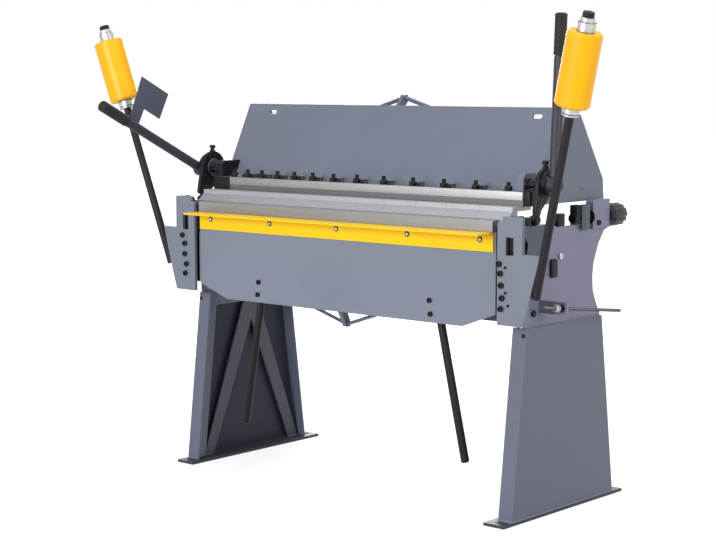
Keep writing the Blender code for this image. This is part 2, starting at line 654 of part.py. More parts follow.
def make_leg(side, word):
    """Tapered channel, open towards the middle, on its foot plate."""
    low = FOOT_THICKNESS - LAP
    outside = [(leg_front(low), low), (leg_rear(low), low),
               (LEG_TOP_REAR, LEG_TOP), (LEG_TOP_FRONT, LEG_TOP)]
    base, crown = FOOT_THICKNESS, LEG_TOP + OVERRUN
    inside = [(leg_front(base) + LEG_WALL, base), (leg_rear(base) - LEG_WALL, base),
              (leg_rear(crown) - LEG_WALL, crown), (leg_front(crown) + LEG_WALL, crown)]
    leg = side_plate("leg_" + word, outside, *span(side, LEG_MOUTH, LEG_OUTER))
    cut(leg, side_plate("leg_bay_" + word, inside, *span(side, LEG_MOUTH - OVERRUN, WEB_INNER)))
    foot_low, foot_high = span(side, FOOT_INNER, FOOT_OUTER)
    join(leg, box("foot_" + word, (foot_low, 0, 0), (foot_high, FOOT_LENGTH, FOOT_THICKNESS)))
    middle = side * (FOOT_INNER + FOOT_OUTER) / 2
    for place, y in (("front", FOOT_HOLE_INSET), ("rear", FOOT_LENGTH - FOOT_HOLE_INSET)):
        cut(leg, cylinder("foot_hole_" + place + "_" + word, (middle, y, -OVERRUN),
                          (middle, y, FOOT_THICKNESS + OVERRUN), FOOT_HOLE_RADIUS, ROD_STEPS))
    return painted(leg, "grey_paint")


def make_brace(side, word):
    """Inverted V of flat bar between the foot and the end plate."""
    base = FOOT_THICKNESS + GAP
    front = LEG_FOOT_FRONT + BRACE_FRONT_INSET
    rear = LEG_FOOT_REAR - BRACE_REAR_INSET
    middle = (front + rear) / 2
    outline = [(front, base), (front + BRACE_FOOT_WIDTH, base), (middle, BRACE_CROTCH_HEIGHT),
               (rear - BRACE_FOOT_WIDTH, base), (rear, base),
               (middle + BRACE_APEX_WIDTH / 2, BRACE_APEX_HEIGHT),
               (middle - BRACE_APEX_WIDTH / 2, BRACE_APEX_HEIGHT)]
    brace = side_plate("leg_brace_" + word, outline,
                       *span(side, BRACE_OUTER - BRACE_WALL, BRACE_OUTER))
    return painted(brace, "grey_paint")


def make_end_plate(side, word):
    """End plate with its tab in the leg, its hollow back and the lug of the setback screw."""
    front = LEG_TOP_FRONT + PLATE_TAB_INSET
    rear = LEG_TOP_REAR - PLATE_TAB_INSET
    step = LEG_TOP + GAP
    brow = PLATE_SEAT - PLATE_SEAT_EDGE
    heel = step + PLATE_HEEL_RISE
    outline = [(front, PLATE_TAB_BOTTOM), (rear, PLATE_TAB_BOTTOM), (rear, heel),
               (LEG_TOP_REAR, heel)]
    for height_share, depth_share in PLATE_BACK_SHARES:
        outline.append((PLATE_WAIST + (PLATE_REAR - PLATE_WAIST) * depth_share,
                        heel + (brow - heel) * height_share))
    outline += [(PLATE_REAR, PLATE_SEAT), (PLATE_SEAT_FRONT, PLATE_SEAT),
                (PLATE_SEAT_FRONT, PLATE_TOP), (PLATE_FRONT, PLATE_TOP),
                (PLATE_FRONT, PLATE_NOSE_BOTTOM), (LEG_TOP_FRONT, PLATE_THROAT),
                (LEG_TOP_FRONT, step), (front, step)]
    plate = side_plate("end_plate_" + word, outline, *span(side, PLATE_INNER, PLATE_OUTER))
    lug_low, lug_high = span(side, SETBACK_SCREW_X - LUG_WIDTH / 2, SETBACK_SCREW_X + LUG_WIDTH / 2)
    join(plate, box("setback_lug_" + word, (lug_low, LUG_FRONT, PLATE_TOP - LAP),
                    (lug_high, LUG_REAR, LUG_TOP)))
    cut(plate, cylinder("setback_lug_hole_" + word,
                        across(side, SETBACK_SCREW_X, LUG_FRONT - OVERRUN, SETBACK_SCREW_Z),
                        across(side, SETBACK_SCREW_X, LUG_REAR + OVERRUN, SETBACK_SCREW_Z),
                        SETBACK_BORE_RADIUS))
    if side > 0:
        add_stop_lug(plate)
    return painted(plate, "grey_paint")


def stop_height(y):
    """Height of the stop rod's axis above a Y."""
    slope = (STOP_REAR_Z - STOP_FRONT_Z) / (STOP_REAR_Y - STOP_FRONT_Y)
    return STOP_FRONT_Z + slope * (y - STOP_FRONT_Y)


def stop_point(y):
    return Vector((STOP_X, y, stop_height(y)))


def add_stop_lug(plate):
    """Lug that stands out from the right end plate and holds the stop rod."""
    middle = stop_height(STOP_LUG_Y)
    low = (PLATE_OUTER - LAP, STOP_LUG_Y - STOP_LUG_WALL / 2, middle - STOP_LUG_HEIGHT / 2)
    high = (STOP_X + STOP_LUG_HEIGHT / 2, STOP_LUG_Y + STOP_LUG_WALL / 2,
            middle + STOP_LUG_HEIGHT / 2)
    join(plate, box("stop_lug", low, high))
    cut(plate, cylinder("stop_lug_hole", stop_point(STOP_LUG_Y - STOP_LUG_WALL - OVERRUN),
                        stop_point(STOP_LUG_Y + STOP_LUG_WALL + OVERRUN),
                        STOP_HOLE_RADIUS, ROD_STEPS))


def make_stop_rod():
    """Threaded rod with a lock nut on each side of its lug."""
    start, end = stop_point(STOP_FRONT_Y), stop_point(STOP_REAR_Y)
    length = (end - start).length
    stretch = length / (STOP_REAR_Y - STOP_FRONT_Y)
    lug = (STOP_LUG_Y - STOP_FRONT_Y) * stretch
    half = STOP_LUG_WALL / 2 * stretch + STOP_NUT_STANDOFF
    near, far = lug - half, lug + half
    profile = [(STOP_RADIUS, 0), (STOP_RADIUS, near - STOP_NUT_LENGTH),
               (STOP_NUT_RADIUS, near - STOP_NUT_LENGTH), (STOP_NUT_RADIUS, near),
               (STOP_RADIUS, near), (STOP_RADIUS, far), (STOP_NUT_RADIUS, far),
               (STOP_NUT_RADIUS, far + STOP_NUT_LENGTH), (STOP_RADIUS, far + STOP_NUT_LENGTH),
               (STOP_RADIUS, length)]
    return painted(turned("stop_rod", start, end - start, profile, ROD_STEPS), "bright_zinc")


def make_bed():
    """Folded bed channel, open at the back, and the hard bar on its shelf."""
    shelf = BED_SHELF_TOP - BED_SHELF_WALL
    front = BEND_Y + GAP * 10
    web_rear = BED_WEB_FRONT + BED_WALL
    outline = [(BED_WEB_FRONT, BED_BOTTOM), (BED_FOOT_REAR, BED_BOTTOM),
               (BED_FOOT_REAR, BED_BOTTOM + BED_WALL), (web_rear, BED_BOTTOM + BED_WALL),
               (web_rear, shelf), (BED_SHELF_REAR, shelf), (BED_SHELF_REAR, BED_SHELF_TOP),
               (front, BED_SHELF_TOP), (front, shelf), (BED_WEB_FRONT, shelf)]
    half = PLATE_INNER - GAP
    painted(side_plate("bed_beam", outline, -half, half), "grey_paint")
    bar = box("bed_bar", (-half, BEND_Y + GAP, BED_BAR_BOTTOM),
              (half, BED_BAR_REAR, WORK_HEIGHT))
    painted(bar, "ground_steel")


def make_hinge_block(side, word):
    """Casting with the hinge eye in front and the clamp link's pin on top."""
    low, high = span(side, WEB_INNER, HINGE_BLOCK_OUTER)
    body = [(HINGE_BLOCK_FRONT, HINGE_BLOCK_BOTTOM), (HINGE_BLOCK_REAR, HINGE_BLOCK_BOTTOM),
            (HINGE_BLOCK_REAR, HINGE_BLOCK_TOP), (HINGE_SHOULDER, HINGE_BLOCK_TOP)]
    block = side_plate("hinge_block_" + word, body, low, high)
    eye = arc((BEND_Y, WORK_HEIGHT), HINGE_EYE_RADIUS, -10, 230, ARC_STEPS * 2)
    eye += [(HINGE_BLOCK_FRONT + LAP, HINGE_ARM_BOTTOM), (HINGE_ARM_REAR, HINGE_ARM_BOTTOM),
            (HINGE_ARM_REAR, HINGE_BLOCK_TOP - LAP), (HINGE_SHOULDER, HINGE_BLOCK_TOP - LAP)]
    eye_low, eye_high = span(side, HINGE_EYE_INNER, HINGE_BLOCK_OUTER - LAP / 4)
    join(block, side_plate("hinge_eye_" + word, eye, eye_low, eye_high))
    ear = arc((LINK_PIN_Y, LINK_PIN_Z), LINK_EYE_RADIUS - LAP / 2, 0, 180)
    ear += [(LINK_PIN_Y - LINK_EYE_RADIUS + LAP / 2, HINGE_BLOCK_TOP - LAP * 3),
            (LINK_PIN_Y + LINK_EYE_RADIUS - LAP / 2, HINGE_BLOCK_TOP - LAP * 3)]
    ear_high = STRAP_INNER - GAP
    join(block, side_plate("link_ear_" + word, ear, *span(side, ear_high - LINK_EAR_WALL, ear_high)))
    strap_outer = STRAP_INNER + STRAP_WALL
    pin_start = across(side, ear_high - LAP * 3, LINK_PIN_Y, LINK_PIN_Z)
    head_start = across(side, strap_outer + GAP, LINK_PIN_Y, LINK_PIN_Z)
    head_end = across(side, strap_outer + GAP + HINGE_HEAD_WALL, LINK_PIN_Y, LINK_PIN_Z)
    pin_end = across(side, strap_outer + GAP + LAP, LINK_PIN_Y, LINK_PIN_Z)
    join(block, cylinder("link_pin_" + word, pin_start, pin_end, LINK_PIN_RADIUS),
         cylinder("link_pin_head_" + word, head_start, head_end, LINK_PIN_HEAD_RADIUS, ROD_STEPS))
    cut(block, cylinder("hinge_bore_" + word,
                        across(side, HINGE_EYE_INNER - OVERRUN, BEND_Y, WORK_HEIGHT),
                        across(side, HINGE_BLOCK_OUTER + OVERRUN, BEND_Y, WORK_HEIGHT),
                        HINGE_PIN_RADIUS + PIVOT_CLEARANCE))
    return painted(block, "grey_paint")


def make_leaf():
    """Leaf plate with its corners cut away, the folding bar on top and the yellow angle."""
    half, low = LEAF_HALF_WIDTH, LEAF_BOTTOM
    run = half - LEAF_CORNER_RUN
    rise = low + LEAF_CORNER_RISE
    outline = [(-run, low), (run, low), (half, rise), (half, LEAF_TOP), (-half, LEAF_TOP),
               (-half, rise)]
    leaf = painted(front_plate("apron_leaf", outline, LEAF_FRONT, LEAF_REAR), "light_paint")
    bar = box("folding_bar",
              (-FOLDING_BAR_HALF, FOLDING_BAR_REAR - FOLDING_BAR_DEPTH, FOLDING_BAR_BOTTOM),
              (FOLDING_BAR_HALF, FOLDING_BAR_REAR, FOLDING_BAR_BOTTOM + FOLDING_BAR_HEIGHT))
    painted(bar, "ground_steel")
    top = LEAF_TOP
    front = ANGLE_REAR - ANGLE_DEPTH
    profile = [(ANGLE_REAR, top), (front, top), (front, top - ANGLE_WALL),
               (ANGLE_REAR - ANGLE_WALL, top - ANGLE_WALL),
               (ANGLE_REAR - ANGLE_WALL, top - ANGLE_HEIGHT), (ANGLE_REAR, top - ANGLE_HEIGHT)]
    angle = side_plate("front_angle", profile, -ANGLE_HALF, ANGLE_HALF)
    painted(angle, "yellow_paint")
    return leaf, bar, angle


def ear_edge(height):
    """X of the ear's slanted edge, which lies against the counterweight rod."""
    slant = math.hypot(1, ROD_SPLAY)
    return rod_x(height) - (ROD_RADIUS + GAP) * slant


def make_bracket(side, word):
    """End bracket: slotted front plate with an ear, hinge lugs and the joint plate behind."""
    top = WORK_HEIGHT + BRACKET_ABOVE_BEND
    notch = WORK_HEIGHT - BRACKET_NOTCH_BELOW_BEND
    outline = [(BRACKET_INNER, BRACKET_BOTTOM), (BRACKET_OUTER, BRACKET_BOTTOM),
               (ear_edge(EAR_BOTTOM), EAR_BOTTOM), (ear_edge(EAR_TOP), EAR_TOP),
               (BRACKET_OUTER, EAR_TOP), (BRACKET_OUTER, top),
               (BRACKET_INNER + BRACKET_NOTCH, top), (BRACKET_INNER + BRACKET_NOTCH, notch),
               (BRACKET_INNER, notch)]
    bracket = front_plate("apron_bracket_" + word, mirrored(side, outline),
                          BRACKET_FRONT, LEAF_FRONT)
    lug = arc((BEND_Y, WORK_HEIGHT), BRACKET_ABOVE_BEND - LAP / 4, -90, 90)
    lug += [(LEAF_FRONT - LAP, WORK_HEIGHT + BRACKET_ABOVE_BEND - LAP / 4),
            (LEAF_FRONT - LAP, WORK_HEIGHT - BRACKET_ABOVE_BEND + LAP / 4)]
    inner_lug = HINGE_EYE_INNER - GAP
    outer_lug = HINGE_BLOCK_OUTER + GAP
    join(bracket,
         side_plate("inner_lug_" + word, lug, *span(side, inner_lug - HINGE_LUG_WALL, inner_lug)),
         side_plate("outer_lug_" + word, lug, *span(side, outer_lug, outer_lug + HINGE_LUG_WALL)))
    joint_rear = JOINT_PLATE_FRONT + JOINT_PLATE_WALL
    spacer_low, spacer_high = span(side, SPACER_INNER, JOINT_PLATE_OUTER - LAP / 4)
    joint_low, joint_high = span(side, JOINT_PLATE_INNER, JOINT_PLATE_OUTER)
    join(bracket,
         box("spacer_" + word, (spacer_low, LEAF_FRONT - LAP, JOINT_PLATE_BOTTOM + LAP),
             (spacer_high, JOINT_PLATE_FRONT + LAP, JOINT_PLATE_TOP - LAP)),
         box("joint_plate_" + word, (joint_low, JOINT_PLATE_FRONT, JOINT_PLATE_BOTTOM),
             (joint_high, joint_rear, JOINT_PLATE_TOP)))
    slot_low, slot_high = span(side, SLOT_INNER, SLOT_INNER + SLOT_WIDTH)
    cut(bracket, box("bracket_slot_" + word, (slot_low, BRACKET_FRONT - OVERRUN, SLOT_BOTTOM),
                     (slot_high, LEAF_FRONT + OVERRUN / 2, SLOT_BOTTOM + SLOT_HEIGHT)))
    cut(bracket, cylinder("bracket_bore_" + word,
                          across(side, inner_lug - HINGE_LUG_WALL - OVERRUN, BEND_Y, WORK_HEIGHT),
                          across(side, outer_lug + HINGE_LUG_WALL + OVERRUN, BEND_Y, WORK_HEIGHT),
                          HINGE_PIN_RADIUS + PIVOT_CLEARANCE))
    return painted(bracket, "light_paint")


def make_hinge_pin(side, word):
    """Headed pin through both lugs and the hinge eye."""
    inner = HINGE_EYE_INNER - GAP - HINGE_LUG_WALL
    head = HINGE_BLOCK_OUTER + GAP + HINGE_LUG_WALL + GAP
    profile = [(HINGE_PIN_RADIUS, 0), (HINGE_PIN_RADIUS, head - inner),
               (HINGE_HEAD_RADIUS, head - inner),
               (HINGE_HEAD_RADIUS, head - inner + HINGE_HEAD_WALL)]
    pin = turned("hinge_pin_" + word, across(side, inner, BEND_Y, WORK_HEIGHT), (side, 0, 0),
                 profile)
    return painted(pin, "dark_steel")


def side_direction(side):
    return Vector((side * ROD_DIRECTION.x, ROD_DIRECTION.y, ROD_DIRECTION.z))


def make_weight_rod(side, word):
    """Splayed rod with the nut under the weight, the collar over it and the stud nut."""
    below = WEIGHT_START - GAP
    above = WEIGHT_START + WEIGHT_LENGTH + GAP
    tip = ROD_LENGTH - STUD_NUT_LENGTH
    profile = [(ROD_RADIUS, 0), (ROD_RADIUS, below - COLLAR_LENGTH),
               (LOWER_NUT_RADIUS, below - COLLAR_LENGTH), (LOWER_NUT_RADIUS, below),
               (ROD_RADIUS, below), (ROD_RADIUS, above), (COLLAR_RADIUS, above),
               (COLLAR_RADIUS, above + COLLAR_LENGTH), (ROD_RADIUS, above + COLLAR_LENGTH),
               (ROD_RADIUS, tip), (STUD_NUT_RADIUS, tip), (STUD_NUT_RADIUS, ROD_LENGTH)]
    foot = across(side, ROD_FOOT.x, ROD_FOOT.y, ROD_FOOT.z)
    piece = turned("weight_rod_" + word, foot, side_direction(side), profile)
    return painted(piece, "dark_steel")


def make_counterweight(side, word):
    """Chamfered cylinder, bored for its rod."""
    direction = side_direction(side)
    foot = Vector(across(side, ROD_FOOT.x, ROD_FOOT.y, ROD_FOOT.z))
    start = foot + direction * WEIGHT_START
    profile = [(WEIGHT_RADIUS - WEIGHT_CHAMFER, 0), (WEIGHT_RADIUS, WEIGHT_CHAMFER),
               (WEIGHT_RADIUS, WEIGHT_LENGTH - WEIGHT_CHAMFER),
               (WEIGHT_RADIUS - WEIGHT_CHAMFER, WEIGHT_LENGTH)]
    weight = turned("counterweight_" + word, start, direction, profile)
    bore_end = start + direction * (WEIGHT_LENGTH + OVERRUN)
    cut(weight, cylinder("weight_bore_" + word, start - direction * OVERRUN, bore_end,
                         ROD_RADIUS + GAP))
    return painted(weight, "yellow_paint")


def make_handle(side, word):
    """Bar bolted behind the leaf, which the operator pulls up."""
    y = LEAF_REAR + GAP + HANDLE_RADIUS
    top = across(side, HANDLE_TOP_X[word], y, HANDLE_TOP)
    foot = across(side, HANDLE_FOOT_X[word], y, HANDLE_FOOT)
    return painted(cylinder("apron_handle_" + word, top, foot, HANDLE_RADIUS, ROD_STEPS), "dark_steel")


def make_leaf_truss():
    """Bent tie rod under the leaf, its two anchor blocks and the post at its middle."""
    anchor_z = LEAF_TRUSS_APEX_Z + LEAF_TRUSS_DROP
    seat = LEAF_REAR + GAP
    anchor_y = seat + LEAF_TRUSS_ROD_OFFSET
    half_height = LEAF_TRUSS_BLOCK_HEIGHT / 2
    apex = (0, LEAF_TRUSS_APEX_Y, LEAF_TRUSS_APEX_Z)
    truss = rod("apron_truss", [(-LEAF_TRUSS_HALF, anchor_y, anchor_z), apex,
                                (LEAF_TRUSS_HALF, anchor_y, anchor_z)], LEAF_TRUSS_RADIUS)
    for side, word in SIDES:
        low, high = span(side, LEAF_TRUSS_HALF - half_height, LEAF_TRUSS_HALF + half_height)
        join(truss, box("truss_anchor_" + word, (low, seat, anchor_z - half_height),
                        (high, seat + LEAF_TRUSS_BLOCK + LAP, anchor_z + half_height)))
    reach = LEAF_TRUSS_APEX_Y + LEAF_TRUSS_RADIUS + LAP
    foot = LEAF_TRUSS_APEX_Z - LEAF_TRUSS_RADIUS - LAP
    outline = [(seat, LEAF_TRUSS_POST_TOP), (seat, LEAF_BOTTOM + LAP * 4),
               (reach - LEAF_TRUSS_POST, foot), (reach, foot),
               (reach, foot + LEAF_TRUSS_POST), (seat + LEAF_TRUSS_POST, LEAF_TRUSS_POST_TOP)]
    join(truss, side_plate("truss_post", outline, -LEAF_TRUSS_POST / 2, LEAF_TRUSS_POST / 2))
    return painted(truss, "grey_paint")


def make_pivot_block(side, word):
    """Sliding block that carries the beam's rear pivot pin and takes the setback screw."""
    seat = PLATE_SEAT + GAP
    chamfer = PIVOT_BLOCK_CHAMFER
    outline = [(PIVOT_BLOCK_FRONT, seat), (PIVOT_BLOCK_REAR, seat),
               (PIVOT_BLOCK_REAR, PIVOT_BLOCK_TOP), (PIVOT_BLOCK_FRONT + chamfer, PIVOT_BLOCK_TOP),
               (PIVOT_BLOCK_FRONT, PIVOT_BLOCK_TOP - chamfer)]
    block = side_plate("pivot_block_" + word, outline,
                       *span(side, PIVOT_BLOCK_INNER, PIVOT_BLOCK_OUTER))
    head = HALF_ROW - GAP
    join(block,
         cylinder("pivot_pin_" + word,
                  across(side, PIVOT_BLOCK_INNER + PIVOT_PIN_DEPTH, PIVOT_Y, PIVOT_Z),
                  across(side, head - LAP, PIVOT_Y, PIVOT_Z), PIVOT_RADIUS),
         cylinder("pivot_spacer_" + word,
                  across(side, PIVOT_BLOCK_INNER + LAP, PIVOT_Y, PIVOT_Z),
                  across(side, BEAM_END_OUTER + GAP, PIVOT_Y, PIVOT_Z), PIVOT_HEAD_RADIUS),
         cylinder("pivot_head_" + word, across(side, head, PIVOT_Y, PIVOT_Z),
                  across(side, head - PIVOT_HEAD_WALL, PIVOT_Y, PIVOT_Z), PIVOT_HEAD_RADIUS))
    cut(block, cylinder("setback_bore_" + word,
                        across(side, SETBACK_SCREW_X, PIVOT_BLOCK_FRONT - OVERRUN,
                               SETBACK_SCREW_Z),
                        across(side, SETBACK_SCREW_X, PIVOT_BLOCK_REAR + OVERRUN,
                               SETBACK_SCREW_Z), SETBACK_BORE_RADIUS))
    return painted(block, "grey_paint")


def make_setback_screw(side, word):
    """Screw with the collar in front of its lug, the knob and the stem behind it."""
    start = across(side, SETBACK_SCREW_X, SETBACK_SCREW_FRONT, SETBACK_SCREW_Z)
    knob = KNOB_FRONT - SETBACK_SCREW_FRONT
    rear = KNOB_REAR - SETBACK_SCREW_FRONT
    profile = [(SETBACK_COLLAR_RADIUS, 0), (SETBACK_COLLAR_RADIUS, SETBACK_COLLAR_LENGTH),
               (SETBACK_SCREW_RADIUS, SETBACK_COLLAR_LENGTH), (SETBACK_SCREW_RADIUS, knob),
               (KNOB_RADIUS - KNOB_EDGE, knob), (KNOB_RADIUS, knob + KNOB_EDGE),
               (KNOB_RADIUS, rear - KNOB_EDGE), (KNOB_RADIUS - KNOB_EDGE, rear),
               (KNOB_STEM_RADIUS, rear), (KNOB_STEM_RADIUS, rear + KNOB_STEM_LENGTH)]
    return painted(turned("setback_screw_" + word, start, (0, 1, 0), profile), "dark_steel")


def make_beam():
    """Folded face and sole with two lifting slots."""
    slant = math.hypot(1, BEAM_FACE_LEAN) * BEAM_WALL
    sole = BEAM_BOTTOM + BEAM_WALL
    rear = BEAM_BACK_Y - BEAM_BACK_LEAN
    outline = [(BEAM_FACE_FOOT, BEAM_BOTTOM), (rear, BEAM_BOTTOM), (rear, sole),
               (beam_face(sole) + slant, sole), (beam_face(BEAM_TOP) + slant, BEAM_TOP),
               (beam_face(BEAM_TOP), BEAM_TOP)]
    plate = side_plate("beam_plate", outline, -BEAM_HALF, BEAM_HALF)
    for side, word in SIDES:
        straight = LIFT_SLOT_LENGTH / 2 - LIFT_SLOT_RADIUS
        shape = arc((side * LIFT_SLOT_X[word] + straight, LIFT_SLOT_Z), LIFT_SLOT_RADIUS, -90, 90, 6)
        shape += arc((side * LIFT_SLOT_X[word] - straight, LIFT_SLOT_Z), LIFT_SLOT_RADIUS, 90, 270, 6)
        cut(plate, front_plate("lift_slot_" + word, shape, beam_face(LIFT_SLOT_Z) - OVERRUN * 2,
                               beam_face(LIFT_SLOT_Z) + slant + OVERRUN * 2))
    return painted(plate, "grey_paint")


def make_beam_end(side, word):
    """End plate of the beam with the ear that hangs on the rear pivot."""
    ear = BEAM_EAR_RADIUS
    outline = [(beam_face(BEAM_BOTTOM), BEAM_BOTTOM), (PIVOT_Y - ear - LAP, BEAM_BOTTOM)]
    outline += arc((PIVOT_Y, PIVOT_Z), ear, 180, 360, ARC_STEPS)
    back = BEAM_BOTTOM - BEAM_BACK_DROP
    outline += [(PIVOT_Y + ear + LAP, back), (BEAM_BACK_Y, back),
                (BEAM_BACK_Y - BEAM_BACK_LEAN, BEAM_BACK_Z), (BEAM_TOP_REAR_Y, BEAM_TOP_REAR_Z),
                (beam_face(BEAM_TOP), BEAM_TOP)]
    plate = side_plate("beam_end_" + word, outline, *span(side, HALF_ROW, BEAM_END_OUTER))
    cut(plate, cylinder("pivot_bore_" + word,
                        across(side, HALF_ROW - OVERRUN, PIVOT_Y, PIVOT_Z),
                        across(side, BEAM_END_OUTER + OVERRUN, PIVOT_Y, PIVOT_Z),
                        PIVOT_RADIUS + PIVOT_CLEARANCE))
    return painted(plate, "grey_paint")


def make_beam_truss():
    """Bent tie rod behind the beam's face, its end pads and the post at its middle."""
    end_x = BEAM_HALF - GAP - BEAM_TRUSS_END_WALL / 2
    end_z = BEAM_TRUSS_APEX - BEAM_TRUSS_SLOPE * end_x
    apex = (0, BEAM_TRUSS_Y, BEAM_TRUSS_APEX)
    truss = rod("beam_truss", [(-end_x, BEAM_TRUSS_Y, end_z), apex, (end_x, BEAM_TRUSS_Y, end_z)],
                BEAM_TRUSS_RADIUS)
    for side, word in SIDES:
        inner = across(side, end_x - BEAM_TRUSS_END_WALL / 2, BEAM_TRUSS_Y, end_z)
        outer = across(side, end_x + BEAM_TRUSS_END_WALL / 2, BEAM_TRUSS_Y, end_z)
        join(truss, cylinder("truss_pad_" + word, inner, outer, BEAM_TRUSS_END_RADIUS, ROD_STEPS))
    slant = math.hypot(1, BEAM_FACE_LEAN) * BEAM_WALL
    top = BEAM_TRUSS_APEX + BEAM_TRUSS_RADIUS + LAP
    bottom, seat_top = BEAM_TRUSS_POST_BOTTOM, BEAM_TRUSS_POST_BOTTOM + BEAM_TRUSS_POST_SEAT
    rear = BEAM_TRUSS_Y + BEAM_TRUSS_POST / 2
    clear = slant + GAP * 2
    outline = [(beam_face(bottom) + clear, bottom),
               (beam_face(bottom) + clear + BEAM_TRUSS_POST, bottom),
               (rear, top - BEAM_TRUSS_POST), (rear, top), (rear - BEAM_TRUSS_POST, top),
               (beam_face(seat_top) + clear, seat_top)]
    join(truss, side_plate("beam_truss_post", outline, -BEAM_TRUSS_POST_WALL / 2,
                           BEAM_TRUSS_POST_WALL / 2))
    return painted(truss, "grey_paint")


def finger_spans():
    """Low and high X of each finger, from left to right."""
    total = sum(FINGER_WIDTH_SHARES)
    spans, low = [], -HALF_ROW
    for share in FINGER_WIDTH_SHARES:
        high = low + FINGER_ROW * share / total
        spans.append((low + FINGER_SIDE_GAP / 2, high - FINGER_SIDE_GAP / 2))
        low = high
    return spans


def make_fingers():
    """Removable fingers: nose at the bend line, thick toe and a tongue under the clamp bar."""
    base = WORK_HEIGHT + FINGER_NOSE_GAP
    nose = BEND_Y + FINGER_NOSE_GAP
    roof = CLAMP_BOTTOM - GAP
    brow = nose + FINGER_BEVEL_DEPTH
    outline = [(nose, base), (nose + FINGER_TOE, base), (nose + FINGER_TOE, roof - FINGER_TONGUE_WALL),
               (FINGER_TONGUE_REAR, roof - FINGER_TONGUE_WALL), (FINGER_TONGUE_REAR, roof),
               (brow + FINGER_BROW, roof), (brow, base + FINGER_BEVEL_RISE)]
    return [painted(side_plate("finger_%02d" % number, outline, low, high), "ground_steel")
            for number, (low, high) in enumerate(finger_spans(), start=1)]


def make_clamp_bar():
    """Bar under the beam that holds the fingers, with a bolt and a stop block for each."""
    front = CLAMP_FRONT
    outline = [(front, CLAMP_BOTTOM), (front, CLAMP_TOP),
               (beam_face(CLAMP_TOP) - GAP * 2, CLAMP_TOP),
               (beam_face(CLAMP_BOTTOM) - GAP * 2, CLAMP_BOTTOM)]
    bar = side_plate("finger_clamp_bar", outline, -CLAMP_BAR_HALF, CLAMP_BAR_HALF)
    end_rear = beam_face(CLAMP_BOTTOM) - GAP * 10
    join(bar, box("clamp_bar_end", (CLAMP_BAR_HALF - LAP, front + LAP / 2, CLAMP_BOTTOM + LAP / 2),
                  (CLAMP_BAR_HALF + CLAMP_END_LENGTH, end_rear, CLAMP_TOP - LAP / 2)))
    nut_limit = BEARING_INNER - BOLT_NUT_RADIUS - GAP
    block_limit = BEARING_INNER - WASHER_OFFSET - WASHER_LENGTH - GAP
    for number, (low, high) in enumerate(finger_spans(), start=1):
        middle = (low + high) / 2
        foot = CLAMP_TOP - LAP
        if abs(middle) < nut_limit:
            join(bar,
                 cylinder("bolt_%02d" % number, (middle, BOLT_Y, foot),
                          (middle, BOLT_Y, CLAMP_TOP + BOLT_HEIGHT), BOLT_RADIUS, 8),
                 cylinder("bolt_nut_%02d" % number, (middle, BOLT_Y, foot),
                          (middle, BOLT_Y, CLAMP_TOP + BOLT_NUT_HEIGHT), BOLT_NUT_RADIUS, 6))
        if abs(middle) < block_limit:
            left = middle + WASHER_OFFSET
            join(bar, box("stop_block_%02d" % number, (left, BOLT_Y - WASHER_DEPTH / 2, foot),
                          (left + WASHER_LENGTH, BOLT_Y + WASHER_DEPTH / 2,
                           CLAMP_TOP + WASHER_HEIGHT)))
    return painted(bar, "ground_steel")


def make_cam_bearing(side, word):
    """Bearing block of the cam shaft, seated on the clamp bar against the beam's face."""
    base = CLAMP_TOP + GAP
    outline = [(BEARING_FRONT, base), (BEARING_FRONT, BEARING_TOP - BEARING_CHAMFER),
               (BEARING_FRONT + BEARING_CHAMFER, BEARING_TOP),
               (beam_face(BEARING_TOP) - GAP * 2, BEARING_TOP), (beam_face(base) - GAP * 2, base)]
    block = side_plate("cam_bearing_" + word, outline, *span(side, BEARING_INNER, BEARING_OUTER))
    cut(block, cylinder("cam_bore_" + word,
                        across(side, BEARING_INNER + BEARING_FLOOR, CAM_Y, CAM_Z),
                        across(side, BEARING_OUTER + OVERRUN, CAM_Y, CAM_Z),
                        CAM_SHAFT_RADIUS + PIVOT_CLEARANCE))
    return painted(block, "dark_steel")


def make_cam_shaft(side, word):
    """Shaft with its eccentric and the nut that keeps the lever on."""
    inner = BEARING_INNER + BEARING_FLOOR + GAP
    collar = BEARING_OUTER + GAP
    shaft = cylinder("cam_shaft_" + word, across(side, inner, CAM_Y, CAM_Z),
                     across(side, CAM_SHAFT_END, CAM_Y, CAM_Z), CAM_SHAFT_RADIUS)
    cam_low = STRAP_INNER - LAP / 2
    cam_high = STRAP_INNER + STRAP_WALL + LAP / 2
    hub_outer = LEVER_PLANE + LEVER_HUB_WALL / 2
    join(shaft,
         cylinder("cam_collar_" + word, across(side, collar, CAM_Y, CAM_Z),
                  across(side, collar + CAM_COLLAR_WALL, CAM_Y, CAM_Z), CAM_COLLAR_RADIUS),
         cylinder("eccentric_" + word, across(side, cam_low, CAM_CENTRE_Y, CAM_CENTRE_Z),
                  across(side, cam_high, CAM_CENTRE_Y, CAM_CENTRE_Z), CAM_RADIUS, 40),
         cylinder("cam_nut_" + word, across(side, hub_outer + GAP, CAM_Y, CAM_Z),
                  across(side, hub_outer + GAP + CAM_SHAFT_NUT_WALL, CAM_Y, CAM_Z),
                  CAM_SHAFT_NUT_RADIUS, 6))
    return painted(shaft, "dark_steel")


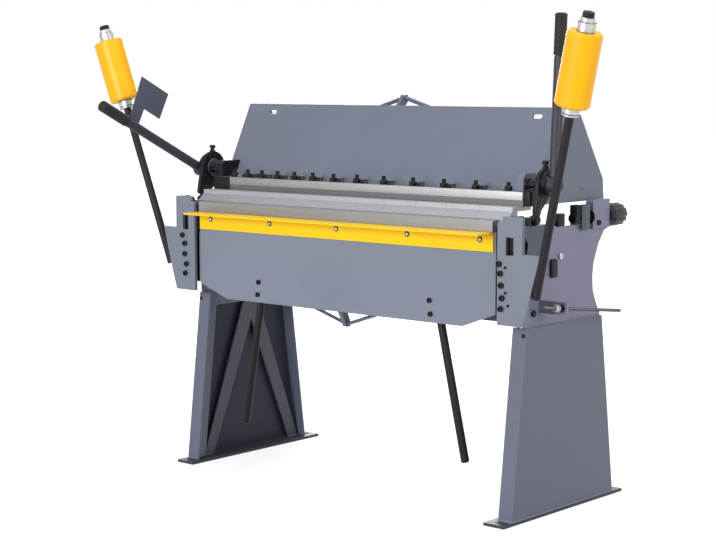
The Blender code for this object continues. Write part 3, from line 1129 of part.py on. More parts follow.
def make_strap_link(side, word):
    """Strap round the eccentric, which holds the beam down to the hinge block's pin."""
    pin = Vector((LINK_PIN_Y, LINK_PIN_Z))
    cam = Vector((CAM_CENTRE_Y, CAM_CENTRE_Z))
    bore = CAM_RADIUS + STRAP_CLEARANCE
    unit = (cam - pin).normalized()
    normal = Vector((-unit.y, unit.x)) * STRAP_SHANK / 2
    near = pin + unit * (LINK_PIN_RADIUS + LAP * 2)
    far = cam - unit * (bore + LAP * 2)
    low, high = span(side, STRAP_INNER, STRAP_INNER + STRAP_WALL)
    strap = cylinder("strap_link_" + word, (low, cam.x, cam.y), (high, cam.x, cam.y),
                     STRAP_RADIUS, 40)
    shank = [tuple(near + normal), tuple(near - normal), tuple(far - normal), tuple(far + normal)]
    join(strap,
         side_plate("strap_shank_" + word, shank, low + LAP / 4, high - LAP / 4),
         cylinder("strap_eye_" + word, (low, pin.x, pin.y), (high, pin.x, pin.y), LINK_EYE_RADIUS))
    cut(strap,
        cylinder("strap_bore_" + word, (low - OVERRUN, cam.x, cam.y),
                 (high + OVERRUN, cam.x, cam.y), bore, 40),
        cylinder("strap_pin_bore_" + word, (low - OVERRUN, pin.x, pin.y),
                 (high + OVERRUN, pin.x, pin.y), LINK_PIN_RADIUS + PIVOT_CLEARANCE))
    return painted(strap, "dark_steel")


def lever_frame(angle):
    """Unit (Y, Z) directions along a lever and square to it, upwards and backwards."""
    direction = Vector((-math.cos(angle), math.sin(angle)))
    return direction, Vector((math.sin(angle), math.cos(angle)))


def make_lever(side, word, angle):
    """Hub on the cam shaft with its round arm."""
    direction, _ = lever_frame(angle)
    hub_low, hub_high = LEVER_PLANE - LEVER_HUB_WALL / 2, LEVER_PLANE + LEVER_HUB_WALL / 2
    lever = cylinder("clamp_lever_" + word, across(side, hub_low, CAM_Y, CAM_Z),
                     across(side, hub_high, CAM_Y, CAM_Z), LEVER_HUB_RADIUS)
    start, end = (LEVER_HUB_RADIUS + CAM_SHAFT_RADIUS) / 2, LEVER_LENGTH
    join(lever, cylinder("lever_arm_" + word,
                         across(side, LEVER_PLANE, CAM_Y + direction.x * start,
                                CAM_Z + direction.y * start),
                         across(side, LEVER_PLANE, CAM_Y + direction.x * end,
                                CAM_Z + direction.y * end), LEVER_RADIUS, ROD_STEPS))
    cut(lever, cylinder("lever_bore_" + word, across(side, hub_low - OVERRUN, CAM_Y, CAM_Z),
                        across(side, hub_high + OVERRUN, CAM_Y, CAM_Z),
                        CAM_SHAFT_RADIUS + PIVOT_CLEARANCE))
    return painted(lever, "dark_steel")


def make_grip(side, word, angle):
    """Sleeve over the end of the lever, closed at its tip."""
    direction, _ = lever_frame(angle)
    start = LEVER_REACH - GRIP_LENGTH

    def point(distance):
        return Vector(across(side, LEVER_PLANE, CAM_Y + direction.x * distance,
                             CAM_Z + direction.y * distance))

    axis = point(LEVER_REACH) - point(start)
    profile = [(GRIP_RADIUS, 0), (GRIP_RADIUS, GRIP_LENGTH - GRIP_CAP),
               (GRIP_RADIUS - GRIP_CAP, GRIP_LENGTH)]
    grip = turned("lever_grip_" + word, point(start), axis, profile, 24)
    cut(grip, cylinder("grip_bore_" + word, point(start - OVERRUN), point(LEVER_LENGTH + GAP),
                       LEVER_RADIUS + GAP, ROD_STEPS))
    return painted(grip, "black_rubber")


def make_flag(angle):
    """Thin plate that stands on the left lever."""
    direction, normal = lever_frame(angle)
    seat = LEVER_RADIUS + GAP
    corners = [(FLAG_STEM_NEAR, seat), (FLAG_STEM_FAR, seat), (FLAG_FAR, FLAG_TOP),
               (FLAG_NEAR, FLAG_TOP), (FLAG_NEAR, FLAG_BOTTOM), (FLAG_STEM_NEAR, FLAG_BOTTOM)]
    outline = []
    for distance, height in corners:
        spot = direction * distance + normal * height
        outline.append((CAM_Y + spot.x, CAM_Z + spot.y))
    low, high = span(-1, LEVER_PLANE - FLAG_WALL / 2, LEVER_PLANE + FLAG_WALL / 2)
    return painted(side_plate("lever_flag", outline, low, high), "light_paint")


SIDES = ((-1, "left"), (1, "right"))


def build():
    """Make every piece and hand the moving ones to the empties on their joint axes."""
    leaf_axis = add_empty("leaf_axis", (0, BEND_Y, WORK_HEIGHT), BRAKE)
    setback = add_empty("setback_slide", (0, PIVOT_Y, PIVOT_Z), BRAKE)
    beam_axis = add_empty("beam_axis", (0, PIVOT_Y, PIVOT_Z), BRAKE)
    bpy.context.view_layer.update()
    make_bed()
    make_stop_rod()
    for piece in (*make_leaf(), make_leaf_truss()):
        carried(piece, leaf_axis)
    for piece in (make_beam(), make_beam_truss(), make_clamp_bar(), *make_fingers()):
        carried(piece, beam_axis)
    angles = {-1: LEVER_LEFT_ANGLE, 1: LEVER_RIGHT_ANGLE}
    for side, word in SIDES:
        make_leg(side, word)
        make_brace(side, word)
        make_end_plate(side, word)
        make_hinge_block(side, word)
        for maker in (make_bracket, make_hinge_pin, make_weight_rod, make_counterweight,
                      make_handle):
            carried(maker(side, word), leaf_axis)
        carried(make_pivot_block(side, word), setback)
        screw_axis = add_empty("screw_axis_" + word,
                               across(side, SETBACK_SCREW_X, LUG_REAR, SETBACK_SCREW_Z), BRAKE)
        link_axis = add_empty("link_axis_" + word,
                              across(side, STRAP_INNER, LINK_PIN_Y, LINK_PIN_Z), BRAKE)
        cam_axis = add_empty("cam_axis_" + word, across(side, LEVER_PLANE, CAM_Y, CAM_Z), BRAKE)
        carried(make_setback_screw(side, word), screw_axis)
        carried(make_strap_link(side, word), link_axis)
        for maker in (make_beam_end, make_cam_bearing):
            carried(maker(side, word), beam_axis)
        carried(make_cam_shaft(side, word), cam_axis)
        carried(make_lever(side, word, angles[side]), cam_axis)
        carried(make_grip(side, word, angles[side]), cam_axis)
        if side < 0:
            carried(make_flag(angles[side]), cam_axis)


build()
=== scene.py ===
"""Looks of a box-and-pan sheet metal brake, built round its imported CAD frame.

Places are written in millimetres in the shop frame: X from the middle of the machine,
Y from the front edge of the foot plates, Z from the floor.
"""

import json
import math

import bmesh
import bpy
import numpy as np
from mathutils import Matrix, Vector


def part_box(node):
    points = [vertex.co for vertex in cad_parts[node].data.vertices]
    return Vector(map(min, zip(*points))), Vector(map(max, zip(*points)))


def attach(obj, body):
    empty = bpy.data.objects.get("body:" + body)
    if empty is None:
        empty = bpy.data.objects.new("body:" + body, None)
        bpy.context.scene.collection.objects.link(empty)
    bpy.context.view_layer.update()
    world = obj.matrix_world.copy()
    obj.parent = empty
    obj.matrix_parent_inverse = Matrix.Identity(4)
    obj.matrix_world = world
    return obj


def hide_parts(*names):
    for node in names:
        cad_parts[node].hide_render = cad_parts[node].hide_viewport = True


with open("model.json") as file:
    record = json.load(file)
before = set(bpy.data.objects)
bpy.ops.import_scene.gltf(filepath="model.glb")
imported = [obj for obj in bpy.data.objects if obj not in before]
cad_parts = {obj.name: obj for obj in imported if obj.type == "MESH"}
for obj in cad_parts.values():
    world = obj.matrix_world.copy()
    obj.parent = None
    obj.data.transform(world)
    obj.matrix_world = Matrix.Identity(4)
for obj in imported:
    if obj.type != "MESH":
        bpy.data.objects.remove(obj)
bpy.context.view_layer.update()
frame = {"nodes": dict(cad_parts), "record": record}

MM = 0.001
FOOT_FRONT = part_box("leg_left")[0][1]
SIDES = ((-1, "left"), (1, "right"))

# Places that the dressing shares with the solids, in millimetres
BEND_Y, BEND_Z = 62.0, 850.0
CAM_Y, CAM_Z = 160.0, 946.0
CAM_CENTRE = (174.8, 950.9)
LINK_PIN = (126.0, 849.0)
STRAP_FACE = 664.2
LEVER_X = 698.0
LEVER_ANGLE = {"left": math.radians(26.5), "right": math.radians(92.9)}
ROD_FOOT = np.array((721.0, 46.0, 642.0))
ROD_SLOPE = (0.2806, -0.1129, 1.0)
ROD_LINE = np.array(ROD_SLOPE) / np.linalg.norm(ROD_SLOPE)
BAR_TOP = 925.0
BOLT_Y = 147.0
SCREW_X, SCREW_Z = 638.7, 840.0
END_PLATE_FACE = 643.7
BRACKET_FRONT, BRACKET_BACK, LEAF_FRONT = 33.1, 61.2, 45.1
ANGLE_Z, HANDLE_Y = 795, 65.3
LEG_INSIDE_FROM, FOOT_TOP = 620.0, 12.0
FINGERS = tuple("finger_%02d" % number for number in range(1, 15))
LEGS = ("leg_left", "leg_right")

# Directions, the angle in degrees that makes an edge, and the steps round a ring and a block
UP, FORWARD, BACK = (0, 0, 1), (0, -1, 0), (0, 1, 0)
SHARP_ANGLE = 38
RING_STEPS = 96
BLOCK_STEPS = 20


# ---------------------------------------------------------------- shapes

def unit(vector):
    vector = np.asarray(vector, float)
    return vector / np.linalg.norm(vector)


def square_to(axis):
    """Two unit vectors square to the axis and to each other, right-handed with it."""
    axis = unit(axis)
    helper = np.array((0.0, 0.0, 1.0)) if abs(axis[2]) < 0.9 else np.array((1.0, 0.0, 0.0))
    first = unit(np.cross(helper, axis))
    return first, np.cross(axis, first)


def polygon(angle, corners):
    """Radius of a regular polygon over the radius of its inner circle, at each angle."""
    sector = 2 * math.pi / corners
    return 1 / np.cos(np.mod(angle + sector / 2, sector) - sector / 2)


def skin(rings, loop=False):
    """Closed surface over rings of points: each ring joins the next by quads, ends are fans."""
    count, around, _ = rings.shape
    low = np.arange(count - 1 + loop)[:, None] * around
    high = (low + around) % (count * around)
    here = np.arange(around)[None, :]
    after = (here + 1) % around
    quads = np.stack((low + here, low + after, high + after, high + here), axis=-1)
    faces = quads.reshape(-1, 4).tolist()
    points = rings.reshape(-1, 3)
    if not loop:
        middles = np.stack((rings[0].mean(axis=0), rings[-1].mean(axis=0)))
        points = np.concatenate((points, middles))
        near, far = count * around, count * around + 1
        last = (count - 1) * around
        here, after = here[0], after[0]
        faces += np.stack((np.full(around, near), after, here), axis=-1).tolist()
        faces += np.stack((np.full(around, far), last + here, last + after), axis=-1).tolist()
    return points, faces


def turned(start, axis, stations, steps=32, corners=6, lobes=0, depth=0.0):
    """Round piece along an axis.

    Each station is (distance, radius, squareness): the ring's radius is the station's radius
    times 1 + squareness * (polygon - 1), less depth * (1 - cos(lobes * angle)) / 2, which is
    left out where squareness is below zero.
    """
    table = np.array([(*row, 0.0)[:3] for row in stations], float)
    angle = np.linspace(0, 2 * math.pi, steps, endpoint=False)[None, :]
    radius = table[:, 1:2] * (1 + table[:, 2:3] * (polygon(angle, corners) - 1))
    radius = radius - depth * (1 - np.cos(lobes * angle)) / 2 * (table[:, 2:3] >= 0)
    first, second = square_to(axis)
    middle = np.asarray(start, float) + table[:, :1] * unit(axis)
    rings = (middle[:, None, :] + (radius * np.cos(angle))[..., None] * first
             + (radius * np.sin(angle))[..., None] * second)
    return skin(rings)


def nut(start, axis, flats, height):
    """Hexagon prism whose two ends are chamfered to a circle."""
    return turned(start, axis, ((0, flats * 0.96, 0.2), (height * 0.12, flats, 1),
                                (height * 0.88, flats, 1), (height, flats * 0.96, 0.2)), 24)


def washer(start, axis, radius, height):
    """Flat round plate with its two rims cut back."""
    edge = height * 0.3
    return turned(start, axis, ((0, radius - edge), (edge, radius), (height - edge, radius),
                                (height, radius - edge)), 28)


def socket_screw(start, axis, radius, height):
    """Round head with a hexagon recess in its face."""
    key = radius * 0.5
    return turned(start, axis, ((0, radius), (height * 0.86, radius), (height, radius * 0.9),
                                (height, key, 1), (height * 0.45, key, 1)), 24)


def button_screw(start, axis, radius, height):
    """Domed head: radius falls with the sine of the dome's angle, with a recess on top."""
    dome = [(height * math.sin(a), radius * math.cos(a)) for a in np.linspace(0.1, 1.2, 7)]
    key = radius * 0.32
    return turned(start, axis, [(0, radius * 0.98), *dome, (dome[-1][0], key, 1),
                                (height * 0.4, key, 1)], 24)


def thread(start, axis, length, radius, pitch, depth, steps=20):
    """Screw thread: radius less depth times a triangle wave of distance / pitch - angle.

    Four rings make one pitch.
    """
    distance = np.arange(0, length, pitch / 4)[:, None]
    angle = np.linspace(0, 2 * math.pi, steps, endpoint=False)[None, :]
    phase = np.mod(distance / pitch - angle / (2 * math.pi), 1)
    height = radius - depth * np.abs(2 * phase - 1)
    first, second = square_to(axis)
    middle = np.asarray(start, float) + distance * unit(axis)
    rings = (middle[:, None, :] + (height * np.cos(angle))[..., None] * first
             + (height * np.sin(angle))[..., None] * second)
    return skin(rings)


def bead(start, end, radius, ripple=3.0):
    """Weld bead: a thin tube whose radius ripples as |sin(distance / ripple)|, tapered ends."""
    start, end = np.asarray(start, float), np.asarray(end, float)
    length = np.linalg.norm(end - start)
    distance = np.linspace(0, length, max(8, int(length / 1.4)))
    wave = 0.82 + 0.18 * np.abs(np.sin(math.pi * distance / ripple))
    taper = np.clip(np.minimum(distance, length - distance) / (radius * 1.5), 0.25, 1)
    return turned(start, end - start, np.stack((distance, radius * wave * taper), axis=-1), 10)


def rim(middle, inner, outer, half, axis=0):
    """Flat ring about X or Y: a rounded rectangle of inner..outer by 2 * half carried round.

    The outer radius may be an array with one value for each step round the ring.
    """
    outer = np.broadcast_to(np.asarray(outer, float).reshape(-1, 1), (RING_STEPS, 1))
    turn = np.linspace(0, 2 * math.pi, RING_STEPS, endpoint=False)[:, None]
    edge = min(half, (float(outer.min()) - inner) / 2) * 0.3
    corner = np.linspace(0, 2 * math.pi, 12, endpoint=False)[None, :] + math.pi / 12
    aside = np.sign(np.cos(corner)) * (half - edge) + edge * np.cos(corner)
    radius = ((inner + outer) / 2 + np.sign(np.sin(corner)) * ((outer - inner) / 2 - edge)
              + edge * np.sin(corner))
    rings = np.stack((np.broadcast_to(aside, radius.shape), radius * np.cos(turn),
                      radius * np.sin(turn)), axis=-1)
    return skin(np.roll(rings, axis, axis=-1) + np.asarray(middle, float), loop=True)


def stretched_round(centre, circles):
    """Distance from the centre to the outline stretched round some circles.

    At each angle it is the least of support(normal) / cos(angle - normal), where the support is
    the furthest that any circle reaches along the normal.
    """
    normal = np.linspace(0, 2 * math.pi, 720, endpoint=False)
    away = np.stack((np.cos(normal), np.sin(normal)))
    table = np.asarray(circles, float)
    support = ((table[:, :2] - centre) @ away + table[:, 2:]).max(axis=0)
    angle = np.linspace(0, 2 * math.pi, RING_STEPS, endpoint=False)
    along = np.cos(angle[:, None] - normal[None, :])
    return np.where(along > 0.05, support / np.maximum(along, 0.05), np.inf).min(axis=1)


def slab(low, high, edge):
    """Rounded block: rings of a rounded rectangle, drawn in by edge * (1 - sin t) at both ends."""
    low, high = np.asarray(low, float), np.asarray(high, float)
    turn = np.linspace(0, math.pi / 2, 4)
    inset = np.concatenate((edge * (1 - np.sin(turn)), edge * (1 - np.sin(turn[::-1]))))
    rise = edge * (1 - np.cos(turn))
    level = np.concatenate((low[2] + rise, high[2] - rise[::-1]))
    angle = np.linspace(0, 2 * math.pi, BLOCK_STEPS, endpoint=False) + math.pi / BLOCK_STEPS
    corner = np.stack((np.cos(angle), np.sin(angle)), axis=-1)
    half = (high[:2] - low[:2]) / 2
    flat = np.sign(corner) * (half - edge)
    rings = np.empty((len(level), len(angle), 3))
    rings[..., :2] = ((low[:2] + high[:2]) / 2 + flat[None]
                      + (edge - inset)[:, None, None] * corner[None])
    rings[..., 2] = level[:, None]
    return skin(rings)


def at(side, distance, y, z):
    """Point at a distance from the middle, on the left (-1) or right (1) side."""
    return np.array((side * distance, y, z), float)


def side_slab(side, across, low, high, edge):
    """Rounded block between two distances from the middle, on one side of the machine."""
    near, far = sorted(side * distance for distance in across)
    return slab((near, *low), (far, *high), edge)


def gather(name, body, finish, parts, replaces=(), sharp=SHARP_ANGLE):
    """One piece from several closed surfaces, riding on a body, with its finish."""
    points = np.concatenate([part[0] for part in parts]) * MM + (0, FOOT_FRONT, 0)
    faces, base = [], 0
    for part in parts:
        faces += [[index + base for index in face] for face in part[1]]
        base += len(part[0])
    mesh = bpy.data.meshes.new(name)
    mesh.from_pydata(points.tolist(), [], faces)
    mesh.materials.append(finish)
    mesh.shade_smooth()
    mesh.set_sharp_from_angle(angle=math.radians(sharp))
    return place(bpy.data.objects.new(name, mesh), body, replaces)


def place(piece, body, replaces=()):
    """Add a piece to the scene on its body, and hide the nodes it stands for."""
    bpy.context.scene.collection.objects.link(piece)
    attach(piece, body)
    if replaces:
        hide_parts(*replaces)
    return piece


BODY_OF = {name: body for body, names in frame["record"]["behaviour"]["bodies"].items()
           for name in names}


def shade_leg(mesh):
    """Dark paint on the faces that look inwards from far out, painted shade for the leg's shadowed
    inside; foot paint on the foot plate.
    """
    mesh.materials.append(PAINTED_SHADE_INSIDE)
    mesh.materials.append(FOOT_PAINT)
    count = len(mesh.polygons)
    normals, middles = np.empty(count * 3), np.empty(count * 3)
    mesh.polygons.foreach_get("normal", normals)
    mesh.polygons.foreach_get("center", middles)
    across, heights = middles[::3], middles[2::3]
    looks_in = normals[::3] * np.sign(across) < -0.7
    inside = looks_in & (np.abs(across) > LEG_INSIDE_FROM * MM)
    kind = np.where(heights < FOOT_TOP * MM, 2, inside)
    mesh.polygons.foreach_set("material_index", kind.astype(np.int32))


def softened(node, width, finish):
    """The node's own solid, merged and with flat faces joined, its edges rounded by a bevel."""
    work = bmesh.new()
    work.from_mesh(frame["nodes"][node].data)
    bmesh.ops.remove_doubles(work, verts=work.verts, dist=0.01 * MM)
    bmesh.ops.dissolve_limit(work, angle_limit=math.radians(0.4), verts=work.verts,
                             edges=work.edges)
    work.verts.index_update()
    points = [tuple(vertex.co) for vertex in work.verts]
    faces = [[vertex.index for vertex in face.verts] for face in work.faces]
    work.free()
    mesh = bpy.data.meshes.new(node + "_body")
    mesh.from_pydata(points, [], faces)
    mesh.materials.append(finish)
    mesh.shade_smooth()
    if node in LEGS:
        shade_leg(mesh)
    piece = bpy.data.objects.new(node + "_body", mesh)
    rounding = piece.modifiers.new("edges", "BEVEL")
    rounding.width = width * MM
    rounding.segments = 2
    rounding.limit_method = "ANGLE"
    rounding.angle_limit = math.radians(SHARP_ANGLE)
    rounding.harden_normals = True
    rounding.use_clamp_overlap = False
    return place(piece, BODY_OF[node], (node,))


# ---------------------------------------------------------------- shader groups

def rgb(red, green, blue):
    """Linear colour from the 0 to 255 values that a screen shows."""
    shown = np.array((red, green, blue)) / 255
    linear = np.where(shown <= 0.04045, shown / 12.92, ((shown + 0.055) / 1.055) ** 2.4)
    return (*linear.tolist(), 1.0)


def node(tree, kind, inputs=None, **settings):
    """Add a shader node, set its options, then fill or link its inputs."""
    made = tree.nodes.new("ShaderNode" + kind)
    for key, value in settings.items():
        setattr(made, key, value)
    for key, value in (inputs or {}).items():
        if isinstance(value, bpy.types.NodeSocket):
            tree.links.new(value, made.inputs[key])
        else:
            made.inputs[key].default_value = value
    return made


def maths(tree, operation, first, second=0.0, clamp=False):
    """One Math node on two values or sockets; returns its output."""
    made = node(tree, "Math", {0: first, 1: second}, operation=operation, use_clamp=clamp)
    return made.outputs[0]


def blend(tree, factor, first, second):
    """Colour mixed from the first to the second by a factor."""
    return node(tree, "Mix", {0: factor, 6: first, 7: second}, data_type="RGBA").outputs[2]


def spread(tree, value, low, high, start=0.0, end=1.0):
    """Map a value from start..end to low..high, clamped."""
    return node(tree, "MapRange", {0: value, 1: start, 2: end, 3: low, 4: high}).outputs[0]


def noise_at(tree, stretch, detail=3.0, rough=0.5, turn=(0.0, 0.0, 0.0)):
    """Noise on Object coordinates, scaled apart on each axis."""
    spot = node(tree, "TexCoord").outputs["Object"]
    mapped = node(tree, "Mapping", {"Vector": spot, "Rotation": turn, "Scale": stretch})
    made = node(tree, "TexNoise", {"Vector": mapped.outputs[0], "Scale": 1.0, "Detail": detail,
                                   "Roughness": rough})
    return made.outputs[0]


def new_group(name, inputs, output):
    """Shader group with number inputs and one number output; returns its tree and ends."""
    tree = bpy.data.node_groups.new(name, "ShaderNodeTree")
    for label, value in inputs.items():
        socket = tree.interface.new_socket(label, in_out="INPUT", socket_type="NodeSocketFloat")
        socket.default_value = value
    tree.interface.new_socket(output, in_out="OUTPUT", socket_type="NodeSocketFloat")
    return tree, tree.nodes.new("NodeGroupInput"), tree.nodes.new("NodeGroupOutput")


def make_edge_wear_and_highlight():
    """Mask of edges for wear and, in sprayed paint, a painted highlight: 1 - rounded normal .
    normal, broken up by noise.
    """
    tree, given, end = new_group("edge_wear_and_highlight", {"Reach": 0.002, "Amount": 1.0}, "Mask")
    rounded = node(tree, "Bevel", {"Radius": given.outputs["Reach"]}, samples=4)
    plain = node(tree, "NewGeometry").outputs["Normal"]
    dot = node(tree, "VectorMath", {0: rounded.outputs[0], 1: plain}, operation="DOT_PRODUCT")
    bend = maths(tree, "SUBTRACT", 1.0, dot.outputs["Value"])
    edge = spread(tree, bend, 0.0, 1.0, 0.01, 0.16)
    broken = spread(tree, noise_at(tree, (70, 70, 70), 4), 0.25, 1.0, 0.38, 0.62)
    worn = maths(tree, "MULTIPLY", edge, broken)
    tree.links.new(maths(tree, "MULTIPLY", worn, given.outputs["Amount"], True), end.inputs[0])
    return tree


def make_mottle():
    """Slow, soft variation: two noises of different size, added."""
    tree, given, end = new_group("mottle", {"Strength": 1.0}, "Value")
    slow = noise_at(tree, (2.3, 2.3, 2.3), 2)
    quick = noise_at(tree, (17, 17, 17), 4, 0.6)
    both = maths(tree, "ADD", maths(tree, "MULTIPLY", slow, 0.65),
                 maths(tree, "MULTIPLY", quick, 0.35))
    evened = spread(tree, both, 0.0, 1.0, 0.33, 0.67)
    tree.links.new(maths(tree, "MULTIPLY", evened, given.outputs["Strength"]), end.inputs[0])
    return tree


def make_peel():
    """Height of sprayed paint: fine orange peel over a slower swell."""
    tree, given, end = new_group("orange_peel", {"Depth": 1.0}, "Height")
    fine = noise_at(tree, (520, 520, 520), 2)
    swell = noise_at(tree, (90, 90, 90), 2)
    both = maths(tree, "ADD", maths(tree, "MULTIPLY", fine, 0.6),
                 maths(tree, "MULTIPLY", swell, 0.4))
    tree.links.new(maths(tree, "MULTIPLY", both, given.outputs["Depth"]), end.inputs[0])
    return tree


def make_settled_dust():
    """Mask of thin dust: faces that look up, times cloudy noise."""
    tree, given, end = new_group("settled_dust", {"Amount": 0.2}, "Mask")
    normal = node(tree, "NewGeometry").outputs["Normal"]
    up = node(tree, "SeparateXYZ", {0: normal}).outputs[2]
    facing = spread(tree, up, 0.0, 1.0, 0.55, 1.0)
    cloud = spread(tree, noise_at(tree, (24, 24, 24), 5, 0.65), 0.15, 1.0, 0.35, 0.7)
    dusty = maths(tree, "MULTIPLY", facing, cloud)
    tree.links.new(maths(tree, "MULTIPLY", dusty, given.outputs["Amount"]), end.inputs[0])
    return tree


def make_grinding(name, stretch):
    """Fine grinding lines: noise stretched far along one axis."""
    tree, given, end = new_group(name, {"Strength": 1.0}, "Value")
    lines = noise_at(tree, stretch, 3, 0.7)
    sharp = spread(tree, lines, 0.0, 1.0, 0.3, 0.7)
    tree.links.new(maths(tree, "MULTIPLY", sharp, given.outputs["Strength"]), end.inputs[0])
    return tree


def make_scratches():
    """Sparse scratches: the bright crests of two long noises laid at different angles."""
    tree, given, end = new_group("scratches", {"Amount": 1.0}, "Mask")
    first = noise_at(tree, (9, 420, 420), 1, 0.4, (0.2, 0.5, 0.4))
    second = noise_at(tree, (380, 380, 11), 1, 0.4, (0.5, 0.1, 0.9))
    both = maths(tree, "MAXIMUM", spread(tree, first, 0, 1, 0.66, 0.72),
                 spread(tree, second, 0, 1, 0.67, 0.73))
    tree.links.new(maths(tree, "MULTIPLY", both, given.outputs["Amount"]), end.inputs[0])
    return tree


EDGE_WEAR_AND_HIGHLIGHT = make_edge_wear_and_highlight()
MOTTLE = make_mottle()
PEEL = make_peel()
DUST = make_settled_dust()
SCRATCHES = make_scratches()
GROUND_ALONG = make_grinding("ground_along", (5, 900, 900))
GROUND_ACROSS = make_grinding("ground_across", (900, 6, 900))
DRAWN_UP = make_grinding("drawn_up", (700, 700, 8))


def use(tree, group, **inputs):
    """Place a shader group in a tree with its own values; returns its output."""
    made = tree.nodes.new("ShaderNodeGroup")
    made.node_tree = group
    for label, value in inputs.items():
        made.inputs[label].default_value = value
    return made.outputs[0]


# ---------------------------------------------------------------- finishes

def new_finish(name, **fixed):
    """Material whose shader sockets take the given plain values; spaces are underscores."""
    material = bpy.data.materials.new(name)
    material.use_nodes = True
    tree = material.node_tree
    shader = tree.nodes["Principled BSDF"]
    for label, value in fixed.items():
        shader.inputs[label.replace("_", " ")].default_value = value
    return material, tree, shader


def bump(tree, shader, height, distance, strength=0.6):
    """Link a height to the shader's normal, at a distance in metres."""
    made = node(tree, "Bump", {"Height": height, "Distance": distance, "Strength": strength})
    tree.links.new(made.outputs[0], shader.inputs["Normal"])


def scaled(colour, factor):
    """Colour times a factor, no part above 1."""
    return (*(min(1.0, part * factor) for part in colour[:3]), 1.0)


def painted(name, colour, rub=0.5, rub_and_highlight_tone=1.6, rough=0.4, peel=0.12, dust=0.12, vary=0.05,
            shine=0.45):
    """Sprayed paint: mottled colour, paler edges that are partly rubbed paint and partly painted
    highlight, thin dust on top, orange peel.
    """
    material, tree, shader = new_finish(name, Coat_Weight=0.1, Coat_Roughness=0.22,
                                        Specular_IOR_Level=shine)
    mottle = use(tree, MOTTLE, Strength=1.0)
    paint = blend(tree, mottle, scaled(colour, 1 - vary), scaled(colour, 1 + vary))
    # Paler edge colour: partly worn paint, partly a painted highlight along the edges.
    edge = use(tree, EDGE_WEAR_AND_HIGHLIGHT, Reach=0.0022, Amount=rub)
    worn = blend(tree, edge, paint, scaled(colour, rub_and_highlight_tone))
    scratched = blend(tree, use(tree, SCRATCHES, Amount=0.04), worn, scaled(colour, rub_and_highlight_tone))
    veil = use(tree, DUST, Amount=dust)
    tree.links.new(blend(tree, veil, scratched, rgb(176, 174, 168)), shader.inputs["Base Color"])
    gloss = spread(tree, mottle, rough - 0.05, rough + 0.07)
    tree.links.new(maths(tree, "ADD", gloss, maths(tree, "MULTIPLY", veil, 0.8), True),
                   shader.inputs["Roughness"])
    bump(tree, shader, use(tree, PEEL, Depth=1.0), peel * MM)
    return material


def ground(name, colour, lines, rough=0.3, depth=0.02, stain=0.25):
    """Ground or drawn steel: fine lines, cloudy stain, brighter edges and scratches."""
    material, tree, shader = new_finish(name, Metallic=1.0)
    streak = use(tree, lines, Strength=1.0)
    mottle = use(tree, MOTTLE, Strength=1.0)
    base = blend(tree, streak, scaled(colour, 0.8), scaled(colour, 1.08))
    stained = blend(tree, maths(tree, "MULTIPLY", mottle, stain), base, scaled(colour, 0.62))
    marked = blend(tree, use(tree, SCRATCHES, Amount=0.35), stained, scaled(colour, 1.25))
    edge = use(tree, EDGE_WEAR_AND_HIGHLIGHT, Reach=0.0015, Amount=0.5)
    tree.links.new(blend(tree, edge, marked, scaled(colour, 1.35)), shader.inputs["Base Color"])
    gloss = maths(tree, "ADD", spread(tree, streak, rough - 0.06, rough + 0.09),
                  maths(tree, "MULTIPLY", mottle, 0.12))
    tree.links.new(gloss, shader.inputs["Roughness"])
    bump(tree, shader, streak, depth * MM, 0.5)
    return material


def blackened(name, colour, rough=0.42, metal=0.35, rub=0.5, warm=0.12, lines=None):
    """Blackened steel: warmer mottling, steel showing at the edges, faint draw lines."""
    material, tree, shader = new_finish(name, Metallic=metal, Specular_IOR_Level=0.25)
    mottle = use(tree, MOTTLE, Strength=1.0)
    brown = (colour[0] * (1 + warm * 2), colour[1] * (1 + warm), colour[2], 1.0)
    base = blend(tree, mottle, colour, brown)
    edge = use(tree, EDGE_WEAR_AND_HIGHLIGHT, Reach=0.0016, Amount=rub)
    worn = blend(tree, edge, base, rgb(120, 117, 115))
    marked = blend(tree, use(tree, SCRATCHES, Amount=0.12), worn, rgb(104, 101, 100))
    veil = use(tree, DUST, Amount=0.05)
    tree.links.new(blend(tree, veil, marked, rgb(150, 147, 140)), shader.inputs["Base Color"])
    tree.links.new(spread(tree, mottle, rough - 0.08, rough + 0.1), shader.inputs["Roughness"])
    height = use(tree, lines or PEEL)
    bump(tree, shader, height, 0.06 * MM)
    return material


def moulded(name, colour, rough=0.6):
    """Moulded rubber or plastic: fine leathery grain, slightly greyed where it is handled."""
    material, tree, shader = new_finish(name, Specular_IOR_Level=0.4)
    mottle = use(tree, MOTTLE, Strength=0.6)
    base = blend(tree, mottle, colour, scaled(colour, 1.6))
    edge = use(tree, EDGE_WEAR_AND_HIGHLIGHT, Reach=0.0015, Amount=0.4)
    tree.links.new(blend(tree, edge, base, scaled(colour, 3.0)), shader.inputs["Base Color"])
    tree.links.new(spread(tree, mottle, rough - 0.08, rough + 0.08), shader.inputs["Roughness"])
    bump(tree, shader, noise_at(tree, (1500, 1500, 1500), 2), 0.05 * MM)
    return material


LEG_PAINT = painted("leg_paint", rgb(96, 101, 120), rough=0.44)
BRACE_PAINT = painted("brace_paint", rgb(80, 83, 96), rough=0.5, dust=0.06)
FOOT_PAINT = painted("foot_paint", rgb(54, 55, 66), rough=0.52, dust=0.05, shine=0.3)
